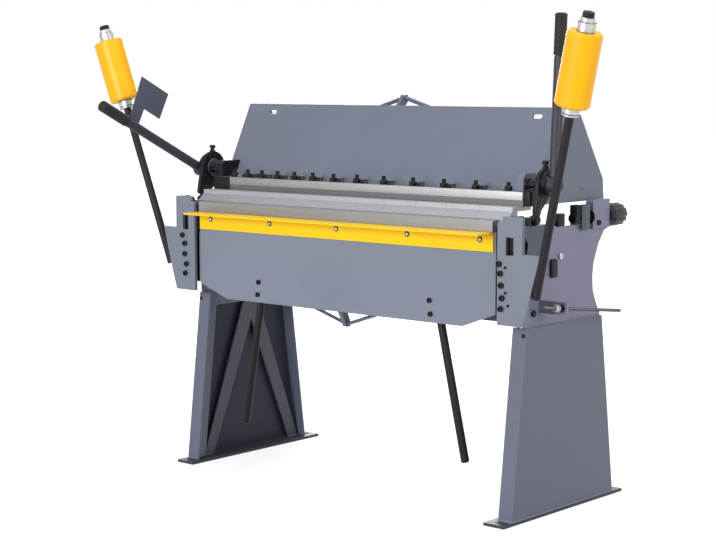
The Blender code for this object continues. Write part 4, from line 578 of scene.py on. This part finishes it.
# Painted shade: dark paint on the legs' inner faces stands for the shadow inside the legs.
PAINTED_SHADE_INSIDE = painted("leg_inside_painted_shade", rgb(50, 53, 70), rough=0.6, dust=0.04, shine=0.3)
PLATE_PAINT = painted("plate_paint", rgb(126, 127, 151), rough=0.44)
BEAM_PAINT = painted("beam_paint", rgb(104, 111, 128), rough=0.42)
LEAF_PAINT = painted("leaf_paint", rgb(122, 129, 146), rough=0.38, peel=0.09)
CAST_PAINT = painted("cast_paint", rgb(118, 125, 140), rough=0.5, peel=0.4, rub=0.7)
HINGE_PAINT = painted("hinge_paint", rgb(68, 75, 90), rough=0.5, peel=0.4, rub=0.7)
FLAG_PAINT = painted("flag_paint", rgb(68, 72, 90), rough=0.46)
YELLOW_PAINT = painted("yellow_paint", rgb(255, 206, 4), rough=0.42, rub=0.35, rub_and_highlight_tone=1.1,
                       vary=0.03, dust=0.0, shine=0.3)
WEIGHT_PAINT = painted("weight_paint", rgb(252, 184, 0), rough=0.4, rub=0.35, rub_and_highlight_tone=1.1,
                       vary=0.03, dust=0.0, shine=0.3)
FINGER_STEEL = ground("finger_steel", rgb(170, 170, 176), GROUND_ACROSS, 0.5)
BAR_STEEL = ground("bar_steel", rgb(148, 149, 152), GROUND_ALONG, 0.46)
STRIP_STEEL = ground("strip_steel", rgb(164, 165, 164), GROUND_ALONG, 0.48, stain=0.12)
CLAMP_STEEL = ground("clamp_steel", rgb(118, 118, 118), GROUND_ALONG, 0.48, stain=0.4)
ZINC = ground("zinc", rgb(190, 190, 188), DRAWN_UP, 0.3, 0.01)
ROD_STEEL = blackened("rod_steel", rgb(30, 27, 33), 0.48, metal=0.25, warm=0.07, lines=DRAWN_UP)
LEVER_STEEL = blackened("lever_steel", rgb(58, 56, 67), 0.46, warm=0.04)
STOP_STEEL = blackened("stop_steel", rgb(80, 78, 81), 0.4, metal=0.6, lines=DRAWN_UP)
BLACK_STEEL = blackened("black_steel", rgb(15, 14, 19), 0.48, metal=0.12, rub=0.3, warm=0.05)
HANDLE_STEEL = blackened("handle_steel", rgb(18, 17, 21), 0.5, metal=0.2, warm=0.04,
                         lines=DRAWN_UP)
SCREW_BLACK = blackened("screw_black", rgb(12, 11, 14), 0.46, metal=0.12, rub=0.25)
CAM_STEEL = blackened("cam_steel", rgb(98, 94, 108), 0.38, metal=0.6, warm=0.04)
KNOB_PLASTIC = moulded("knob_plastic", rgb(38, 38, 47), 0.44)
GRIP_RUBBER = moulded("grip_rubber", rgb(14, 14, 16), 0.7)


# ---------------------------------------------------------------- solids with rounded edges

ROUNDED = {
    LEG_PAINT: (("leg_left", 1.6), ("leg_right", 1.6), ("bed_beam", 1.4), ("apron_truss", 0.6),
                ("beam_truss", 0.6)),
    FLAG_PAINT: (("lever_flag", 0.5),),
    PLATE_PAINT: (("end_plate_left", 1.0), ("end_plate_right", 1.0), ("pivot_block_left", 1.2),
                  ("pivot_block_right", 1.2)),
    BEAM_PAINT: (("beam_plate", 1.4), ("beam_end_left", 1.2), ("beam_end_right", 1.2),
                 ("cam_bearing_right", 1.2)),
    LEAF_PAINT: (("apron_leaf", 1.0),),
    CAST_PAINT: (("apron_bracket_left", 1.2), ("apron_bracket_right", 1.2)),
    HINGE_PAINT: (("hinge_block_left", 1.0), ("hinge_block_right", 1.0)),
    BRACE_PAINT: (("leg_brace_left", 1.0), ("leg_brace_right", 1.0)),
    YELLOW_PAINT: (("front_angle", 1.0),),
    WEIGHT_PAINT: (("counterweight_left", 0.8), ("counterweight_right", 0.8)),
    BAR_STEEL: (("bed_bar", 0.8), ("folding_bar", 0.8)),
    CLAMP_STEEL: (("finger_clamp_bar", 0.6),),
    FINGER_STEEL: tuple((finger, 0.5) for finger in FINGERS),
    ROD_STEEL: (("weight_rod_left", 0.8), ("weight_rod_right", 0.8)),
    LEVER_STEEL: (("clamp_lever_left", 1.0), ("clamp_lever_right", 1.0)),
    BLACK_STEEL: (("strap_link_left", 0.9), ("strap_link_right", 0.9), ("cam_bearing_left", 1.2),
                  ("cam_shaft_left", 0.7), ("cam_shaft_right", 0.7), ("hinge_pin_left", 0.7),
                  ("hinge_pin_right", 0.7)),
}
for finish, rows in ROUNDED.items():
    for name, width in rows:
        softened(name, width, finish)


# ---------------------------------------------------------------- screws, nuts, grips and welds

def finger_middles():
    boxes = [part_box(finger) for finger in FINGERS]
    return [(low[0] + high[0]) / 2 / MM for low, high in boxes]


# Bolts and stop blocks stand only this near the middle of the bar
BOLTS_WITHIN, BLOCKS_WITHIN = 556, 527


def dress_clamp_bar():
    """Bright strip on the bar's front, black end blocks that are painted shade, and a nut, stud
    and stop block behind each finger near the middle.
    """
    strip = slab((-538, 133.4, 901), (610, 135.6, 924.6), 0.6)
    gather("clamp_strip", "beam", STRIP_STEEL, [strip])
    # Painted shade: the black blocks stand for the bar's ends and the beam end's front edge lying
    # in shadow.
    ends = [slab((-609.6, 132.4, 885.6), (-540, 135.6, 924.4), 0.8),
            slab((610.6, 134.8, 884.6), (634, 152, 926), 1.2)]
    gather("clamp_bar_shaded_ends", "beam", BLACK_STEEL, ends)
    bolts, blocks = [], []
    for middle in finger_middles():
        foot = (middle, BOLT_Y, BAR_TOP)
        if abs(middle) < BOLTS_WITHIN:
            bolts += [washer(foot, UP, 13.0, 1.8), nut(foot, UP, 10.8, 13.4),
                      thread((middle, BOLT_Y, BAR_TOP + 10), UP, 15.4, 6.5, 1.75, 0.7)]
        if abs(middle) < BLOCKS_WITHIN:
            blocks.append(slab((middle + 18.6, 138.2, BAR_TOP),
                               (middle + 37.4, 155.8, BAR_TOP + 11.5), 1.2))
    gather("finger_bolts", "beam", SCREW_BLACK, bolts)
    gather("finger_stop_blocks", "beam", SCREW_BLACK, blocks)


# Places across the machine, then pairs of places across it and above the floor
ANGLE_SCREWS = (-530, -272, 2, 274, 535)
BRACKET_SCREWS = {"left": ((652, 738), (641, 712), (642, 678), (635, 646), (640, 616)),
                  "right": ((606, 732), (611, 706), (614, 673), (617, 638), (613, 608))}
BRACKET_PINS = {"left": (), "right": ((627, 723), (628, 653), (637, 618))}
LEAF_SCREWS = {"left": ((325, 609), (329, 570)), "right": ((353, 609), (357, 570))}


def dress_apron():
    """Screws of the yellow angle with dark rings round them that are painted shadow, screws of the
    brackets and of the handles, and black sheets in the slots that are painted shade.
    """
    angle = [button_screw((x, 37.6, ANGLE_Z), FORWARD, 6.0, 4.2) for x in ANGLE_SCREWS]
    gather("angle_screws", "apron", ZINC, angle)
    # Painted shadow: the dark washer round each angle screw stands for the shadow round its head.
    rings = [washer((x, 38.9, ANGLE_Z), FORWARD, 8.6, 1.5) for x in ANGLE_SCREWS]
    gather("angle_screw_shadow_rings", "apron", ROD_STEEL, rings)
    screws, nuts, slot_shades = [], [], []
    for side, word in SIDES:
        screws += [socket_screw(at(side, x, BRACKET_FRONT, z), FORWARD, 8.6, 7.5)
                   for x, z in BRACKET_SCREWS[word]]
        screws += [socket_screw(at(side, x, BRACKET_FRONT, z), FORWARD, 4.2, 3.0)
                   for x, z in BRACKET_PINS[word]]
        screws += [socket_screw(at(side, x, LEAF_FRONT, z), FORWARD, 7.6, 6.5)
                   for x, z in LEAF_SCREWS[word]]
        nuts += [nut(at(side, x, BRACKET_BACK, z), BACK, 8.5, 7.5)
                 for x, z in BRACKET_SCREWS["right"][1:]]
        nuts.append(nut((side * 283, 66.5, 590), (0, 0, -1), 7.0, 6.5))
        nuts.append(nut((side * 301, 66.5, 608), UP, 7.0, 6.0))
        # Painted shade: a black sheet behind each slot stands for the shade inside it.
        slot_shades.append(side_slab(side, (624, 656), (45.2, 754), (47.2, 809), 0.8))
    gather("apron_screws", "apron", SCREW_BLACK, screws)
    gather("apron_nuts", "apron", ZINC, nuts)
    gather("slot_painted_shade", "apron", SCREW_BLACK, slot_shades)


# Upper and lower end of each handle, as places across the machine and above the floor
HANDLE_ENDS = {"left": ((321, 625), (406, 150)), "right": ((361, 625), (470, 150))}


def dress_handles():
    """Pull bars: smooth black rods with domed tips, one behind each end of the leaf."""
    for side, word in SIDES:
        top, foot = (at(side, x, HANDLE_Y, z) for x, z in HANDLE_ENDS[word])
        length = np.linalg.norm(foot - top)
        stations = [(0.6, 9.5), (2.2, 11.6), (4, 12.0), (length - 7, 12.0), (length - 4, 11.4),
                    (length - 1.5, 9.0), (length - 0.4, 5.0)]
        rod = turned(top, foot - top, stations, 40)
        gather("apron_handle_" + word + "_rod", "apron", HANDLE_STEEL, [rod],
               ("apron_handle_" + word,))


# Distances along a weight's rod from its foot
COLLAR_UNDER, COLLAR_OVER, STUD_FROM = 521.7, 748.2, 785.4


def dress_weights():
    """Bright round nut under each weight, bright collar over it and a knurled black end nut."""
    for side, word in SIDES:
        axis = np.array((side * ROD_LINE[0], ROD_LINE[1], ROD_LINE[2]))
        foot = at(side, *ROD_FOOT)
        lower = turned(foot + axis * COLLAR_UNDER, axis,
                       ((0, 20.8), (1.6, 23.3), (6, 23.3), (6.6, 22.5), (8, 22.5), (8.6, 23.3),
                        (24.8, 23.3), (26.2, 21.5)), 48)
        collar = turned(foot + axis * COLLAR_OVER, axis,
                        ((0, 22.6), (1.2, 24.3), (24.6, 24.3), (26.6, 22.4), (27, 19.6),
                         (36.4, 19.6), (37.4, 18.4), (37.4, 12.6)), 48)
        gather("weight_collars_" + word, "apron", ZINC, [lower, collar])
        stud = turned(foot + axis * STUD_FROM, axis,
                      ((0, 14.6), (1, 15.6), (11.6, 15.6), (13.8, 14.6), (14.6, 11.0)), 72,
                      lobes=24, depth=0.6)
        gather("weight_stud_" + word, "apron", BLACK_STEEL, [stud])


# Ribs of a grip, their pitch, and how far from the hub they start
GRIP_RIBS, RIB_PITCH, RIBS_FROM = 14, 7.0, 366.0


def dress_levers():
    """Ribbed grips, lever tubes, hub nuts with their washers, and clamp screws in the hubs."""
    for side, word in SIDES:
        angle = LEVER_ANGLE[word]
        body = "cam_" + word
        line = np.array((0, -math.cos(angle), math.sin(angle)))
        hub = at(side, LEVER_X, CAM_Y, CAM_Z)
        ribs = [(356.6, 14.2), (357.4, 16.6), (359, 17.5), (364, 17.5)]
        for start in RIBS_FROM + RIB_PITCH * np.arange(GRIP_RIBS):
            ribs += [(start, 17.45), (start + 1.2, 16.5), (start + 2.6, 16.5),
                     (start + 3.8, 17.45)]
        ribs += [(466, 17.45), (469, 16.2), (471, 13.2), (471.9, 8)]
        grip = turned(hub, line, ribs, 40)
        gather("grip_" + word, body, GRIP_RUBBER, [grip], ("lever_grip_" + word,))
        sleeve = turned(hub + line * 22, line, ((0, 15.2), (1.5, 16.2), (8, 16.2), (11, 15.2),
                                                (330, 15.2), (332, 13.4)), 40)
        gather("lever_tube_" + word, body, LEVER_STEEL, [sleeve])
        out = (side, 0, 0)
        shaft_nut = nut(at(side, 710.4, CAM_Y, CAM_Z), out, 13.6, 8.0)
        plate = washer(at(side, 709.9, CAM_Y, CAM_Z), out, 19, 1.6)
        lock = socket_screw(hub - line * 23.5, -line, 5.0, 4.5)
        gather("shaft_nuts_" + word, body, SCREW_BLACK, [shaft_nut, plate, lock])


CAP_RADIUS = {"left": 44.0, "right": 35.0}
CAP_FACE, CAP_SCREWS_AT = 17.8, 30
STRAP_MIDDLE = 658
# Circles (Y, Z, radius) that each strap's outline is stretched round
STRAP_OUTLINES = {"left": ((*CAM_CENTRE, 52.0), (116.0, 874.0, 8.0), (143.0, 874.0, 8.0)),
                  "right": ((*CAM_CENTRE, 41.0), (128.0, 872.0, 8.0), (134.0, 872.0, 8.0))}


def dress_clamps():
    """Cap and face of each eccentric, body of its strap, oiler and hexagon heads of the pins."""
    for side, word in SIDES:
        reach = stretched_round(CAM_CENTRE, STRAP_OUTLINES[word])
        out = (side, 0, 0)
        centre = at(side, STRAP_FACE, *CAM_CENTRE)
        size = CAP_RADIUS[word]
        cap = turned(centre, out, ((0, size), (15, size), (18, size - 3), (18, 27), (20, 25),
                                   (20, 12)), 64)
        gather("cam_cap_" + word, "cam_" + word, BLACK_STEEL, [cap])
        screws = []
        for turn in np.radians((30, 150, 270)):
            spot = centre + (side * CAP_FACE, CAP_SCREWS_AT * math.cos(turn),
                             CAP_SCREWS_AT * math.sin(turn))
            screws.append(socket_screw(spot, out, 2.6, 1.8))
        gather("cam_cap_screws_" + word, "cam_" + word, ZINC, screws)
        face = turned(at(side, 652.1, *CAM_CENTRE), (-side, 0, 0),
                      ((0, 28.5), (1.2, 28.5), (2.0, 27.6), (2.0, 13.5), (1.0, 12.6)), 48)
        gather("cam_face_" + word, "cam_" + word, CAM_STEEL, [face])
        body = rim(at(side, STRAP_MIDDLE, *CAM_CENTRE), 31.4, reach, 5.6)
        gather("strap_body_" + word, "link_" + word, BLACK_STEEL, [body])
        upward = reach[RING_STEPS // 4]
        top = at(side, STRAP_MIDDLE, CAM_CENTRE[0], CAM_CENTRE[1] + upward - 1.5)
        oiler = turned(top, UP, ((0, 8.4, 1), (6, 8.4, 1), (7, 6.0), (10, 6.0), (11, 9.4),
                                 (19, 9.8), (22, 7.4)), 24)
        gather("strap_oiler_" + word, "link_" + word, BLACK_STEEL, [oiler])
        head = nut(at(side, 663.9, *LINK_PIN), out, 11.2, 6.4)
        gather("link_pin_head_" + word, "frame", SCREW_BLACK, [head])
        pin = socket_screw(at(side, 677.1, BEND_Y, BEND_Z), out, 12.3, 6.6)
        gather("hinge_pin_head_" + word, "apron", SCREW_BLACK, [pin])


def dress_setback():
    """Setback screws with their knobs, and the saddle, guide and rings of each slide."""
    for side, word in SIDES:
        body = "screw_" + word
        front = at(side, SCREW_X, 338.2, SCREW_Z)
        collar = turned(front, BACK, ((0, 12.8), (1, 14), (5.6, 14), (6.5, 13.2)), 36)
        lead = thread(at(side, SCREW_X, 343, SCREW_Z), BACK, 172.6, 7.7, 2.0, 0.6)
        gather("setback_collar_" + word, body, SCREW_BLACK, [collar])
        gather("setback_thread_" + word, body, ZINC, [lead])
        cover = side_slab(side, (650.7, 652.4), (343.6, 823), (374.4, 878), 0.8)
        saddle = side_slab(side, (626.4, 652.4), (343.6, 849), (374.4, 878), 1.5)
        gather("setback_saddle_" + word, "frame", BLACK_STEEL, [cover, saddle])
        guide = side_slab(side, (652.0, 656.0), (364, 806), (404, 880), 1.2)
        gather("setback_guide_" + word, "frame", HINGE_PAINT, [guide])
        rings = [rim(at(side, SCREW_X, 423.6, SCREW_Z), 8.6, 21.0, 2.6, 1)]
        rings += [rim(at(side, SCREW_X, 396 + turn * 5.2, SCREW_Z), 8.8, 13.0, 1.7, 1)
                  for turn in range(5)]
        gather("setback_rings_" + word, "setback", SCREW_BLACK, rings)
        knob = turned(at(side, SCREW_X, 516.4, SCREW_Z), BACK,
                      ((0, 22.0, -1), (0.2, 24.0, -1), (9, 25.0, -1), (12, 31.5), (16, 33.8),
                       (60, 33.8), (65, 32.0), (68.6, 27.5), (69.4, 18.0, -1), (70, 11, -1)),
                      96, lobes=12, depth=3.2)
        gather("setback_knob_" + word, body, KNOB_PLASTIC, [knob],
               ("setback_screw_" + word,))
        stem = turned(at(side, SCREW_X, 585.6, SCREW_Z), BACK,
                      ((0, 9.9), (30, 9.9), (31.6, 8.8), (32.3, 6.5)), 32)
        gather("setback_stem_" + word, body, BLACK_STEEL, [stem])


STOP_ROD = np.array(((720.0, 81.0, 615.0), (720.0, 471.0, 569.0)))
STOP_LUG_Y = 175
NUT_FLATS, NUT_HEIGHT = 9.3, 14.6
WASHER_RADIUS, WASHER_HEIGHT = 11, 1.4


def dress_stop_rod():
    """Threaded stop rod: a bright nut and two black ones with washers, on each side of its lug."""
    start, end = STOP_ROD
    axis = unit(end - start)
    length = np.linalg.norm(end - start)
    tip = turned(end - axis * 6, axis, ((0, 4.6), (4, 4.6), (6, 3.2)), 24)
    rod = [thread(start, axis, length - 3, 5.0, 1.5, 0.55, 16), tip]
    gather("stop_rod_thread", "frame", STOP_STEEL, rod, ("stop_rod",))
    lug = (STOP_LUG_Y - start[1]) / axis[1]
    front = [nut(start + axis * (lug - 39.4), axis, NUT_FLATS, NUT_HEIGHT),
             washer(start + axis * (lug - 24.6), axis, WASHER_RADIUS, WASHER_HEIGHT)]
    gather("stop_rod_front_nut", "frame", ZINC, front)
    locks = [nut(start + axis * (lug + along), axis, NUT_FLATS, NUT_HEIGHT)
             for along in (-21.4, 6.8)]
    locks += [washer(start + axis * (lug + along), axis, WASHER_RADIUS, WASHER_HEIGHT)
              for along in (-6.6, 5.3)]
    gather("stop_rod_lock_nuts", "frame", SCREW_BLACK, locks)


BEAM_FACE_Y, BEAM_FACE_Z, BEAM_SLOPE = 182.4, 885, 0.4819
LEG_FOOT_Y, LEG_FOOT_Z, LEG_TOP_Y, LEG_RISE = 43, 10, 104, 538


def beam_face(z):
    """Y of the beam's leaning face at a height."""
    return BEAM_FACE_Y + BEAM_SLOPE * (z - BEAM_FACE_Z)


def leg_front(z):
    """Y of a leg's leaning front flange at a height."""
    return LEG_FOOT_Y + (z - LEG_FOOT_Z) * (LEG_TOP_Y - LEG_FOOT_Y) / LEG_RISE


def dress_legs():
    """Return lip folded back along the inner edge of each leg's front flange."""
    for side, word in SIDES:
        points, faces = side_slab(side, (602.0, 606.0), (2.0, 13), (34.0, 546), 1.4)
        points[:, 1] += leg_front(points[:, 2])
        gather("leg_lip_" + word, "frame", LEG_PAINT, [(points, faces)])


# Start, end and radius of each side's beads: round the foot, on top of the leg, at the four ends
# of the braces, at the setback's lug, and up and along the bed's end
SIDE_BEADS = (
    ((650.4, 46, 10.2), (650.4, 552, 10.2), 2.6),
    ((604, 42.8, 10.0), (650, 42.8, 10.0), 2.6),
    ((604, 555.2, 10.0), (650, 555.2, 10.0), 2.6),
    ((644.6, 108, 548.4), (644.6, 480, 548.4), 2.2),
    ((626.4, 97, 10.2), (626.4, 138, 10.2), 2.0),
    ((633.4, 97, 10.2), (633.4, 138, 10.2), 2.0),
    ((626.4, 499, 10.2), (626.4, 540, 10.2), 2.0),
    ((633.4, 499, 10.2), (633.4, 540, 10.2), 2.0),
    ((644.1, 346, 821.4), (644.1, 372, 821.4), 2.0),
    ((633.0, 109.0, 572), (633.0, 109.0, 818), 2.4),
    ((632.8, 112, 568.8), (632.8, 198, 568.8), 2.2))
STOP_LUG_SIDES = (169.6, 180.4)


def weld_frame():
    """Weld beads of the stand, and those on both sides of the stop rod's lug."""
    beads = [bead(at(side, *first), at(side, *second), radius)
             for side, _ in SIDES for first, second, radius in SIDE_BEADS]
    beads += [bead((644.6, y, 588), (644.6, y, 620), 2.0) for y in STOP_LUG_SIDES]
    gather("frame_welds", "frame", PLATE_PAINT, beads, sharp=70)


BEAM_END_X, FACE_BEAD_BEHIND = 608.8, 9.6


def weld_beam():
    """Beads inside the beam and on the truss's post, and the nuts of the tie rod's ends."""
    beads = []
    for side, _ in SIDES:
        foot, crown = (at(side, BEAM_END_X, beam_face(z) + FACE_BEAD_BEHIND, z)
                       for z in (894, 1150))
        beads += [bead(foot, crown, 2.6),
                  bead(at(side, BEAM_END_X, 200, 893.8), at(side, BEAM_END_X, 520, 893.8), 2.6)]
    for x in (-6.4, 6.4):
        beads.append(bead((x, 305.4, 1121), (x, 319.4, 1149), 1.8))
    gather("beam_welds", "beam", BEAM_PAINT, beads, sharp=70)
    nuts = [nut(at(side, 590, 360, 1003), (side, 0, -0.3), 9.5, 9) for side, _ in SIDES]
    gather("tie_rod_nuts", "beam", ZINC, nuts)


def dress_end_plates():
    """Bolts, buffer and rest of each end plate, and screws of leg, pivot block and beam end."""
    bolts, bright, buffers, rests, leg_heads, block_heads, beam_heads = ([] for _ in range(7))
    for side, _ in SIDES:
        out = (side, 0, 0)
        bolts.append(nut(at(side, END_PLATE_FACE, 142, 586), out, 8.5, 6.5))
        bright.append(nut(at(side, END_PLATE_FACE, 272, 738), out, 9.0, 6.0))
        buffers.append(side_slab(side, (643.6, 656), (219, 680), (247, 733), 5.5))
        rests.append(side_slab(side, (628, 647), (258, 822.2), (290, 858), 2.0))
        leg_heads.append(button_screw(at(side, 641, leg_front(527) + 0.3, 527), FORWARD, 6.5, 3.5))
        block_heads.append(socket_screw(at(side, 651.7, 455, 822), out, 8.0, 5.5))
        beam_heads.append(button_screw(at(side, 620, 415, 923), out, 8.0, 3.5))
    gather("plate_bolts", "frame", SCREW_BLACK, bolts)
    gather("plate_bright_bolts", "frame", ZINC, bright)
    gather("plate_buffers", "frame", GRIP_RUBBER, buffers)
    gather("beam_rests", "frame", BLACK_STEEL, rests)
    gather("leg_screws", "frame", BLACK_STEEL, leg_heads)
    gather("pivot_block_screws", "setback", SCREW_BLACK, block_heads)
    gather("beam_end_screws", "beam", BEAM_PAINT, beam_heads)


dress_clamp_bar()
dress_apron()
dress_handles()
dress_weights()
dress_levers()
dress_clamps()
dress_setback()
dress_stop_rod()
dress_legs()
weld_frame()
weld_beam()
dress_end_plates()


# ---------------------------------------------------------------- floor, light and camera

# The floor's glow for the camera grows from near to far over these distances in metres
FLOOR_GREY = (0.38, 0.38, 0.38, 1)
GLOW_NEAR, GLOW_FAR = 0.76, 1.0
NEAR_METRES, FAR_METRES = 1.2, 4.5


def make_floor():
    """Pale floor that keeps the object's shadow and glows to white for camera and gloss."""
    bpy.ops.mesh.primitive_plane_add(size=60)
    floor = bpy.context.object
    floor.name = "floor"
    material, tree, shader = new_finish("floor_white", Base_Color=FLOOR_GREY, Roughness=0.9)
    path = node(tree, "LightPath")
    seen = maths(tree, "MAXIMUM", path.outputs["Is Camera Ray"], path.outputs["Is Glossy Ray"])
    shader.inputs["Emission Color"].default_value = (1, 1, 1, 1)
    spot = node(tree, "TexCoord").outputs["Object"]
    away = node(tree, "VectorMath", {0: spot}, operation="LENGTH").outputs["Value"]
    glow = spread(tree, away, GLOW_NEAR, GLOW_FAR, NEAR_METRES, FAR_METRES)
    tree.links.new(maths(tree, "MULTIPLY", seen, glow), shader.inputs["Emission Strength"])
    floor.data.materials.append(material)


def make_world():
    """Even dim light from all sides, which the camera and gloss see as white."""
    world = bpy.data.worlds.new("studio")
    bpy.context.scene.world = world
    world.use_nodes = True
    tree = world.node_tree
    path = node(tree, "LightPath")
    seen = maths(tree, "MAXIMUM", path.outputs["Is Camera Ray"], path.outputs["Is Glossy Ray"])
    seen = maths(tree, "MAXIMUM", seen, path.outputs["Is Transmission Ray"])
    background = tree.nodes["Background"]
    background.inputs["Color"].default_value = (1, 1, 1, 1)
    tree.links.new(spread(tree, seen, WORLD_LIGHT, 1.0), background.inputs["Strength"])


def aimed(direction):
    """Euler angles that point a lamp's -Z along a direction."""
    flat = math.hypot(direction[0], direction[1])
    return (math.atan2(flat, -direction[2]), 0.0,
            math.atan2(direction[1], direction[0]) - math.pi / 2)


def add_lamp(name, spot, target, size, watts):
    """Square soft lamp at a spot, pointed at a target; metres and watts."""
    lamp = bpy.data.lights.new(name, "AREA")
    lamp.size = size
    lamp.energy = watts
    holder = bpy.data.objects.new(name, lamp)
    holder.location = spot
    holder.rotation_euler = aimed(np.asarray(target, float) - spot)
    bpy.context.scene.collection.objects.link(holder)


WORLD_LIGHT = 0.3
# Name, place, target, size and watts of each lamp
LAMPS = (("key", (0.2, -4.5, 1.6), (0, 0, 0.8), 1.7, 150),
         ("side", (3.8, -0.3, 2.0), (0.5, 0, 0.8), 1.4, 56),
         ("top", (0.3, 0.5, 4.4), (0, 0, 0.9), 1.8, 62),
         ("back", (-2.8, 3.6, 2.0), (0, 0, 0.8), 2.0, 120))

make_floor()
make_world()
for row in LAMPS:
    add_lamp(*row)

# The camera stands where the photograph was taken: place in millimetres, angles in degrees
CAMERA_AT = np.array((3413.5, -3798.9, 1237.1))
CAMERA_TURN, CAMERA_TILT = 40.91, 6.29
LENS, SENSOR = 87.2, 36.0

camera = bpy.data.objects.new("camera", bpy.data.cameras.new("camera"))
camera.data.lens = LENS
camera.data.sensor_width = SENSOR
camera.data.clip_end = 100
camera.location = CAMERA_AT * MM + (0, FOOT_FRONT, 0)
camera.rotation_euler = (math.radians(90 - CAMERA_TILT), 0, math.radians(CAMERA_TURN))
bpy.context.scene.collection.objects.link(camera)
bpy.context.scene.camera = camera
bpy.context.scene.view_settings.view_transform = "Standard"
